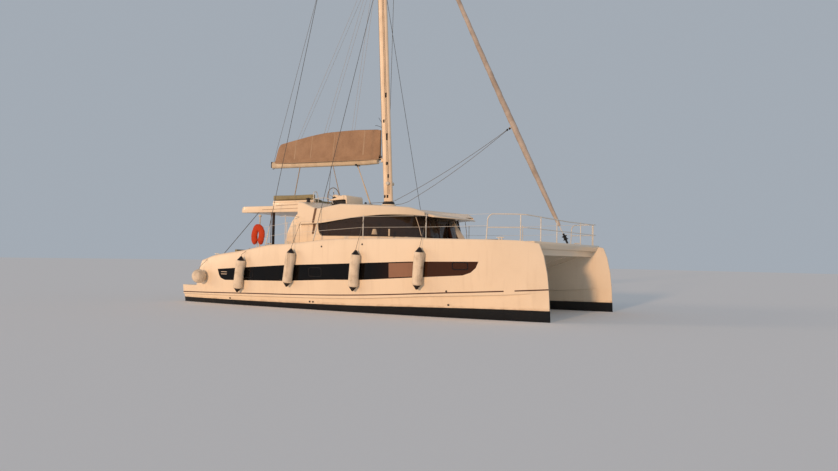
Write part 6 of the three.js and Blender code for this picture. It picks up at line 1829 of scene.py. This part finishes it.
# name, low corner, high corner, thin axis, size of the squares
PADS = [("fly_bolster", (-3.54, -2.135, 3.392), (-1.885, -2.0, 3.572), 0, 0.012)]
PADS += [(f"fly_back_{n}", (-3.54, y, 3.335), (-3.415, y + 1.465, 3.57), 0, 0.016) for n,
         y in enumerate((-1.99, -0.52), 1)]
PADS += [(f"fly_side_{n}", (x, -1.995, 3.333), (x + 0.735, -1.558, 3.425), 2, 0.016) for n,
         x in enumerate((-3.405, -2.665), 1)]
PADS += [(f"fly_aft_{n}", (-3.41, y, 3.333), (-2.99, y + 0.82, 3.425), 2, 0.016) for n,
         y in enumerate((-1.55, -0.725, 0.10), 1)]
PADS += [(f"bench_seat_{n}", (-5.53, y, 1.305), (-5.10, y + w, 1.425), 2, 0.018) for n,
         (y, w) in enumerate(((-1.7, 1.10), (-0.595, 1.10), (0.51, 1.185)), 1)]
PADS += [(f"bench_back_{n}", (-5.65, y, 1.43), (-5.54, y + 1.13, 1.78), 0, 0.018) for n,
         y in enumerate((-1.7, -0.565, 0.57), 1)]
PADS += [(f"bench_side_{n}", (x, 1.155, 1.305), (x + 0.895, 1.70, 1.425), 2, 0.018) for n,
         x in enumerate((-5.095, -4.195), 1)]
PADS += [("sofa_seat_1", (-0.30, 0.6, 1.31), (0.095, 1.645, 1.425), 2, 0.018),
         ("sofa_seat_2", (1.055, 0.6, 1.31), (1.45, 1.645, 1.425), 2, 0.018),
         ("sofa_seat_3", (0.10, 1.255, 1.31), (1.05, 1.645, 1.425), 2, 0.018)]
PADS += [(f"sofa_back_{n}", (x, 1.655, 1.43), (x + 0.87, 1.75, 1.90), 1, 0.018) for n,
         x in enumerate((-0.30, 0.575), 1)]
pads, pipings = {}, {}
for name, low, high, thin, voxel in PADS:
    low, high = np.array(low), np.array(high)
    start = even_squares(block(name, low + INSET, high - INSET, SOFT, 4), voxel)
    placed = shaped(positions(start), low, high, thin)
    start.vertices.foreach_set("co", placed.astype(np.float32).ravel())
    start.update()
    pads[name] = (start, placed, low, high, thin)
    pipings[name] = seam_loops(low, high, thin)
print("cushions:", len(pads), "points:", sum(len(each[1]) for each in pads.values()))

# %% [markdown]
# All cushions swell in the same run of twenty frames: gravity is off and only a little pressure works
# inside them. Afterwards each point's way is capped, and faded out near the seams, so that the piping
# still lies on its seam. The result is written into the mesh, and no simulation is left on the piece.

# %% Swelling the cushions
def swell(pads, frames=20, pressure=4.0):
    """Runs the cloth simulation and returns where the points of each cushion end."""
    held = {}
    for name, (mesh, *_) in pads.items():
        made = bpy.data.objects.new(name + "_cloth", mesh.copy())
        bpy.context.scene.collection.objects.link(made)
        cloth = made.modifiers.new("swell", "CLOTH")
        cloth.settings.use_pressure = True
        cloth.settings.uniform_pressure_force = pressure
        cloth.settings.effector_weights.gravity = 0.0
        cloth.settings.quality = 4
        cloth.point_cache.frame_start, cloth.point_cache.frame_end = 1, frames
        held[name] = made
    for frame in range(1, frames + 1):
        bpy.context.scene.frame_set(frame)
    ends = {}
    for name, made in held.items():
        ends[name] = positions(made.evaluated_get(bpy.context.evaluated_depsgraph_get()).data)
        bpy.data.objects.remove(made)
    bpy.context.scene.frame_set(1)
    return ends


def seam_distance(points, low, high, thin):
    """How far each point is from the nearer seam, worked out from the box the cushion fills."""
    edge = INSET + 0.30 * SOFT
    one, two = [axis for axis in range(3) if axis != thin]
    inward = np.minimum(*(np.minimum(points[:, k] - low[k], high[k] - points[:, k]) for k in (one, two)))
    level = np.minimum(np.abs(points[:, thin] - low[thin] - edge),
                       np.abs(high[thin] - edge - points[:, thin]))
    return np.hypot(inward - edge, level)


ends = swell(pads)
GROUPS = {"fly": ("flybridge_cushion",), "bench": ("cockpit_bench",), "sofa": ("saloon_sofa",)}
for name, (mesh, start, low, high, thin) in pads.items():
    way = ends.get(name, start) - start
    far = np.linalg.norm(way, axis=1, keepdims=True)
    near = np.clip(seam_distance(start, low, high, thin) / 0.05, 0, 1)[:, None]
    moved = start + way * np.minimum(1, SWELL_CAP / np.maximum(far, 1e-9)) * near**2 * (3 - 2 * near)
    mesh.vertices.foreach_set("co", moved.astype(np.float32).ravel())
    mesh.update()
    made = piece(name, mesh, seat_cloth, instead_of=GROUPS[name.split("_")[0]], sharp=math.pi)
    smooth = made.modifiers.new("smooth", "SUBSURF")
    smooth.levels = smooth.render_levels = 1
for group in GROUPS:
    loops = [tube("piping", loop, 0.0065, 8) for name in pads if name.startswith(group)
             for loop in pipings[name]]
    piece(f"{group}_piping", joined("piping", loops), seat_piping)
bases = [("flybridge_plinth", [((-3.545, -2.14, 3.325), (-1.86, -1.995, 3.388))], gelcoat),
         ("cockpit_bench_base", [((-5.65, -1.7, 1.0), (-5.10, 1.7, 1.30)),
                                 ((-5.11, 1.15, 1.0), (-3.30, 1.70, 1.30)),
                                 ((-5.65, -1.7, 1.29), (-5.545, 1.7, 1.425))], gelcoat),
         ("saloon_sofa_base", [((-0.30, 0.60, 1.0), (0.10, 1.75, 1.305)),
                               ((1.05, 0.60, 1.0), (1.45, 1.75, 1.305)),
                               ((0.09, 1.25, 1.0), (1.06, 1.75, 1.305))], cabin_wood)]
for name, boxes, used in bases:
    piece(name, joined(name, [block(name, *corners, 0.015) for corners in boxes]), used)
print("swollen by simulation:", len(ends), "of", len(pads))

# %% [markdown]
# ## Doors
# Each door is a dark aluminium frame round a tinted pane. The frame is a slab with its middle cut out
# and its edges rounded. Frame, pane and handle ride on the door's own body, so they slide or swing.

# %% Sliding and swinging doors
def door(name, node, body, border, pane_x, handle, across=0.006):
    """The frame fills the node's box, the pane stands in its middle plane."""
    low, high = (np.array(corner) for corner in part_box(node))
    rim = np.array([0.1, -border, -border])
    frame = soften(cut(block("frame", low, high), [block("hole", low - rim, high + rim)]), 0.006)
    pane_low, pane_high = low + (0, border - 0.008,
                                 border - 0.008), high - (0, border - 0.008, border - 0.008)
    pane_low[0], pane_high[0] = pane_x, pane_x + across
    piece(f"{name}_frame", frame, dark_post, body=body, instead_of=(node,))
    piece(f"{name}_pane", block("pane", pane_low, pane_high, 0.001), cabin_glass, body=body)
    piece(f"{name}_handle", handle, steel, body=body)
    return low, high


def pull(x, y, z, out, length=0.22):
    """A bar bent into its two feet."""
    return tube("pull", rounded([(x, y, z - length / 2), (x + out, y, z - length / 2),
                                 (x + out, y, z + length / 2), (x, y, z + length / 2)], 0.012), 0.0055, 10)


aft_handles = joined("pulls", [pull(-1.682, -0.708, 2.0, -0.018), pull(-1.650, -0.708, 2.0, 0.022)])
door("aft_door", "aft_door", "aft_door_body", 0.062, -1.669, aft_handles)
front_handles = joined("pulls", [pull(1.710, 0.298, 2.15, 0.03), pull(1.672, 0.298, 2.15, -0.03)])
door("front_door", "front_door", "front_door_body", 0.058, 1.688, front_handles)
tracks = [block("track", (-1.690, -0.76, 2.885), (-1.642, 0.74, 2.905), 0.003)]
piece("aft_door_track", joined("tracks", tracks), dark_post)
print("doors: 2")

# %% [markdown]
# ## Engines
# Under each aft hatch sits a small diesel with a saildrive. The photograph doesn't show it, so this is
# the usual marine engine of that size: a ribbed block, a rounded rocker cover, a sump, pulleys with a
# belt, an alternator, a starter, filters, a heat exchanger, hoses and four rubber feet. Each is a
# softened box, a turned profile or a tube, joined by finish.

# %% One engine and its twin
ENGINE_Y = -2.72


def at(x, y, z):
    """A place in the engine bay, measured across from the engine's middle."""
    return np.array([x, ENGINE_Y + y, z])


def lump(low, high, soft, steps=4):
    return block("part", at(*low), at(*high), soft, steps)


def drum(x, y, z, radius, length, axis=(1, 0, 0), edge=0.008, sides=32):
    """A short round body with soft rims, from a profile of six rows."""
    rows = [(0, 0), (radius - edge, 0), (radius, edge), (radius, length - edge), (radius - edge, length),
            (0, length)]
    return turned("drum", rows, at(x, y, z), axis, sides)


ribs = [lump((x, -0.156, 0.12), (x + 0.014, 0.156, 0.32), 0.004, 2) for x in np.linspace(-4.78, -4.38, 8)]
mount_feet = [(x, y) for x in (-4.80, -4.36) for y in (-0.2, 0.2)]
castings = [lump((-4.86, -0.148, 0.07), (-4.30, 0.148, 0.35), 0.02),
            lump((-4.82, -0.10, 0.345), (-4.34, 0.10, 0.45), 0.035),
            lump((-4.80, -0.12, -0.04), (-4.36, 0.12, 0.08), 0.03),
            drum(-4.32, 0, 0.19, 0.185, 0.06), lump((-4.28, -0.12, -0.045), (-4.19, 0.12, 0.28), 0.025),
            *ribs,
            drum(-4.78, -0.192, 0.40, 0.05, 0.40), lump((-4.74, -0.18, 0.30), (-4.42, -0.13, 0.37), 0.015)]
castings += [lump((x - 0.035, min(y, y * 0.7), 0.035), (x + 0.035, max(y, y * 0.7), 0.055), 0.006) for x,
             y in mount_feet]
both_sides("engine_castings", joined("engine", castings), engine_paint, instead_of="engine")
hoses = [tube("hose", rounded([at(-4.78, -0.192, 0.40), at(-4.84, -0.192, 0.40), at(-4.86, -0.12, 0.30),
                               at(-4.86, -0.05, 0.24)], 0.05), 0.019, 14),
         tube("hose", rounded([at(-4.38, -0.192, 0.40), at(-4.30, -0.19, 0.40), at(-4.26, -0.18, 0.34),
                               at(-4.24, -0.16, 0.10), at(-4.24, -0.16, -0.02)], 0.07), 0.030, 16),
         tube("hose", rounded([at(-4.60, 0.17, 0.33), at(-4.62, 0.20, 0.44), at(-4.70, 0.10, 0.50),
                               at(-4.76, 0.0, 0.455)], 0.05), 0.008, 8)]
rubber = [turned("foot", [(0, -0.05), (0.045, -0.05), (0.045, -0.035), (0.03, -0.012), (0.026, 0.034),
                          (0, 0.035)], at(x, y, 0.0), sides=24) for x, y in mount_feet]
filters = [drum(-4.52, 0.19, 0.10, 0.040, 0.12, (0, 0, 1)),
           drum(-4.66, 0.185, 0.22, 0.036, 0.10, (0, 0, 1)),
           drum(-4.66, 0, 0.44, 0.11, 0.055, (0, 0, 1), 0.02),
           drum(-4.76, 0.02, 0.44, 0.028, 0.04, (0, 0, 1))]
PULLEYS = [(0.0, 0.13, 0.085), (0.165, 0.30, 0.038), (-0.03, 0.36, 0.055)]


def belt_path():
    """The path of a belt round the pulleys: for each direction, the point furthest out on any pulley."""
    a = np.linspace(0, 2 * np.pi, 121)
    way = np.stack([np.cos(a), np.sin(a)], -1)
    centres, radii = np.array([(y, z) for y, z, _ in PULLEYS]), np.array([r for *_, r in PULLEYS])
    reach = way @ centres.T + radii
    best = reach.argmax(1)
    points = centres[best] + radii[best][:, None] * way
    return np.column_stack([np.full(len(a), -4.898), ENGINE_Y + points[:, 0], points[:, 1]])


belt = tube("belt", belt_path()[:-1], 0.006, 8)
both_sides("engine_rubber", joined("rubber", [*hoses, *rubber, *filters, belt]), black_paint)
wheels = [turned("pulley", [(0, 0), (r, 0), (r, 0.006), (r - 0.010, 0.012), (r, 0.018), (r, 0.024),
                            (0, 0.024)], at(-4.91, y, z), (1, 0, 0), 36) for y, z, r in PULLEYS]
metal = [*wheels, drum(-4.885, 0.165, 0.30, 0.068, 0.12), drum(-4.50, 0.175, 0.10, 0.040, 0.17),
         drum(-4.40, -0.192, 0.40, 0.044, 0.03)]
metal += [tube("bolt", [at(x, y, 0.03), at(x, y, 0.075)], 0.007, 6) for x, y in mount_feet]
metal += [turned("nut", [(0, 0), (0.013, 0), (0.013, 0.010), (0, 0.010)], at(x, y, 0.055), sides=6) for x,
          y in mount_feet]
metal += [turned("nut", [(0, 0), (0.011, 0), (0.011, 0.009), (0, 0.009)], at(x, 0.0, 0.449), sides=6)
          for x in (-4.50, -4.40)]
both_sides("engine_metal", joined("metal", metal), steel)
print("parts of one engine:", len(castings) + len(hoses) + len(rubber) + len(filters) + len(metal) + 1)

# %% [markdown]
# ## Under the water
# Keels, rudders and the legs of the saildrives are foils: round in front, sharp behind, thickest a
# third of the way back. One function lays that outline at several depths and closes the tip with a few
# shrinking rows. Rudders and propellers ride on their own bodies, because they turn.

# %% Foils
FOIL_SHARES = [(0.0, 0.0), (0.008, 0.25), (0.03, 0.45), (0.12, 0.8), (0.32, 1.0), (0.6, 0.75), (0.85, 0.32),
               (1.0, 0.05)]


def foil(name, rows, tip=0.03, steps=28):
    """Outlines of (depth, front, back, half thickness) rows; the tip's rows shrink in a quarter circle."""
    rows = np.array(rows, float)
    turn = np.linspace(0, np.pi / 2, 6)[1:]
    z, front, back, half = rows[-1]
    ends = [(z - tip * np.sin(t), front - tip * 0.8 * (1 - np.cos(t)), back + tip * 0.8 * (1 - np.cos(t)),
             half * max(np.cos(t), 0.02)) for t in turn]
    rows = np.concatenate([rows, ends])
    share = (1 - np.cos(np.linspace(0, np.pi, steps))) / 2
    swell = fair(FOIL_SHARES, share)
    around, side = np.concatenate([share, share[-2:0:-1]]), np.concatenate([swell, -swell[-2:0:-1]])
    x = rows[:, 1, None] + (rows[:, 2] - rows[:, 1])[:, None] * around
    y = -2.72 + rows[:, 3, None] * side
    return grid_mesh(name, np.stack([x, y, np.broadcast_to(rows[:, :1], x.shape)], -1), around=True)


keel_mesh = foil("keel", [(-0.40, 1.124, -1.632, 0.111), (-0.62, 1.040, -1.577, 0.100),
                          (-0.90, 0.935, -1.506, 0.086), (-1.085, 0.866, -1.46, 0.077)], 0.035)
both_sides("keel_foil", keel_mesh, bottom_paint, instead_of="keel")
rudder_mesh = joined("rudder",
                     [foil("blade", [(-0.225, -5.59, -6.17, 0.042), (-0.6, -5.614, -6.13, 0.034),
                                     (-0.975, -5.638, -6.092, 0.027)], 0.025, 22)])
stock = tube("stock", [(-5.75, -2.72, -0.6), (-5.75, -2.72, -0.1), (-5.75, -2.72, 0.338)], 0.0295, 20)
for side, blade, shaft in (("starboard", rudder_mesh, stock),
                           ("port", mirror_mesh(rudder_mesh, "rudder_port"),
                            mirror_mesh(stock, "stock_port"))):
    piece(f"rudder_blade_{side}", blade, bottom_paint, body=f"rudder_body_{side}",
          instead_of=(f"rudder_{side}",))
    piece(f"rudder_stock_{side}", shaft, steel, body=f"rudder_body_{side}")
leg = foil("leg", [(-0.30, -4.22, -4.56, 0.060), (-0.64, -4.26, -4.50, 0.045),
                   (-0.74, -4.26, -4.48, 0.045)], 0.01, 18)
POD = [(0.0, 0.0), (0.022, 0.006), (0.042, 0.03), (0.056, 0.08), (0.062, 0.14), (0.062, 0.40),
       (0.059, 0.42), (0.0, 0.42)]
pod = turned("pod", POD, (-4.22, -2.72, -0.74), (-1, 0, 0), 36)
skeg = foil("skeg", [(-0.76, -4.30, -4.50, 0.016), (-0.86, -4.36, -4.49, 0.010)], 0.015, 12)
plate = foil("plate", [(-0.545, -4.24, -4.60, 0.075), (-0.552, -4.24, -4.60, 0.075)], 0.003, 14)
both_sides("saildrive_leg", joined("saildrive", [leg, pod, skeg, plate]), bottom_paint,
           instead_of="saildrive")
print("keel draught", round(float(-positions(keel_mesh)[:, 2].min()), 3), "m")

# %% [markdown]
# A propeller blade is a thin lens that gets wider and then narrower outwards and untwists from root to
# tip. Its outline is a closed ring at each distance from the shaft, so the same grid call makes it.

# %% Propellers
PROP = np.array([-4.76, -2.72, -0.74])
BLADE = [(0.030, 0.060, 0.90, 0.0060), (0.070, 0.096, 0.84, 0.0055), (0.110, 0.110, 0.75, 0.0045),
         (0.160, 0.100, 0.63, 0.0035),
         (0.195, 0.074, 0.55, 0.0026), (0.209, 0.050, 0.51, 0.0020), (0.2145, 0.022, 0.50, 0.0010)]


def blade_grid(turn):
    """One blade: chord c sin(twist) along the shaft and c cos(twist) across, thickest in the middle."""
    rows = np.array(BLADE)
    a = np.linspace(0, 2 * np.pi, 24, endpoint=False)
    along, off = rows[:, 1, None] / 2 * np.cos(a), rows[:, 3, None] * np.sin(a)
    x = along * np.sin(rows[:, 2, None]) + off * np.cos(rows[:, 2, None])
    y = along * np.cos(rows[:, 2, None]) - off * np.sin(rows[:, 2, None])
    z = np.broadcast_to(rows[:, :1], x.shape)
    return PROP + np.stack([x, y * np.cos(turn) - z * np.sin(turn), y * np.sin(turn) + z * np.cos(turn)],
                           -1)


HUB_ROWS = [(0.0195, 0.0), (0.045, 0.0), (0.052, 0.012), (0.058, 0.030), (0.055, 0.075), (0.045, 0.105),
            (0.030, 0.125), (0.012, 0.135), (0.0, 0.136)]
blades = [grid_mesh("blade", blade_grid(2 * np.pi * n / 3), around=True) for n in range(3)]
hub = turned("hub", HUB_ROWS, PROP + (0.075, 0, 0), (-1, 0, 0), 36)
propeller = joined("propeller", [hub, *blades])
for side, each in (("starboard", propeller), ("port", mirror_mesh(propeller, "propeller_port"))):
    piece(f"propeller_wheel_{side}", each, bronze, body=f"propeller_body_{side}",
          instead_of=(f"propeller_{side}",))
print("propeller of", 0.43, "m")

# %% [markdown]
# ## Every other solid gets its finish
# What is still shown of the CAD model keeps its mesh and gets one of the finishes.

# %% Finish the rest and hand over
for name, made in nodes.items():
    if not made.hide_render:
        made.data.materials.clear()
        made.data.materials.append(PANES.get(name, gelcoat))
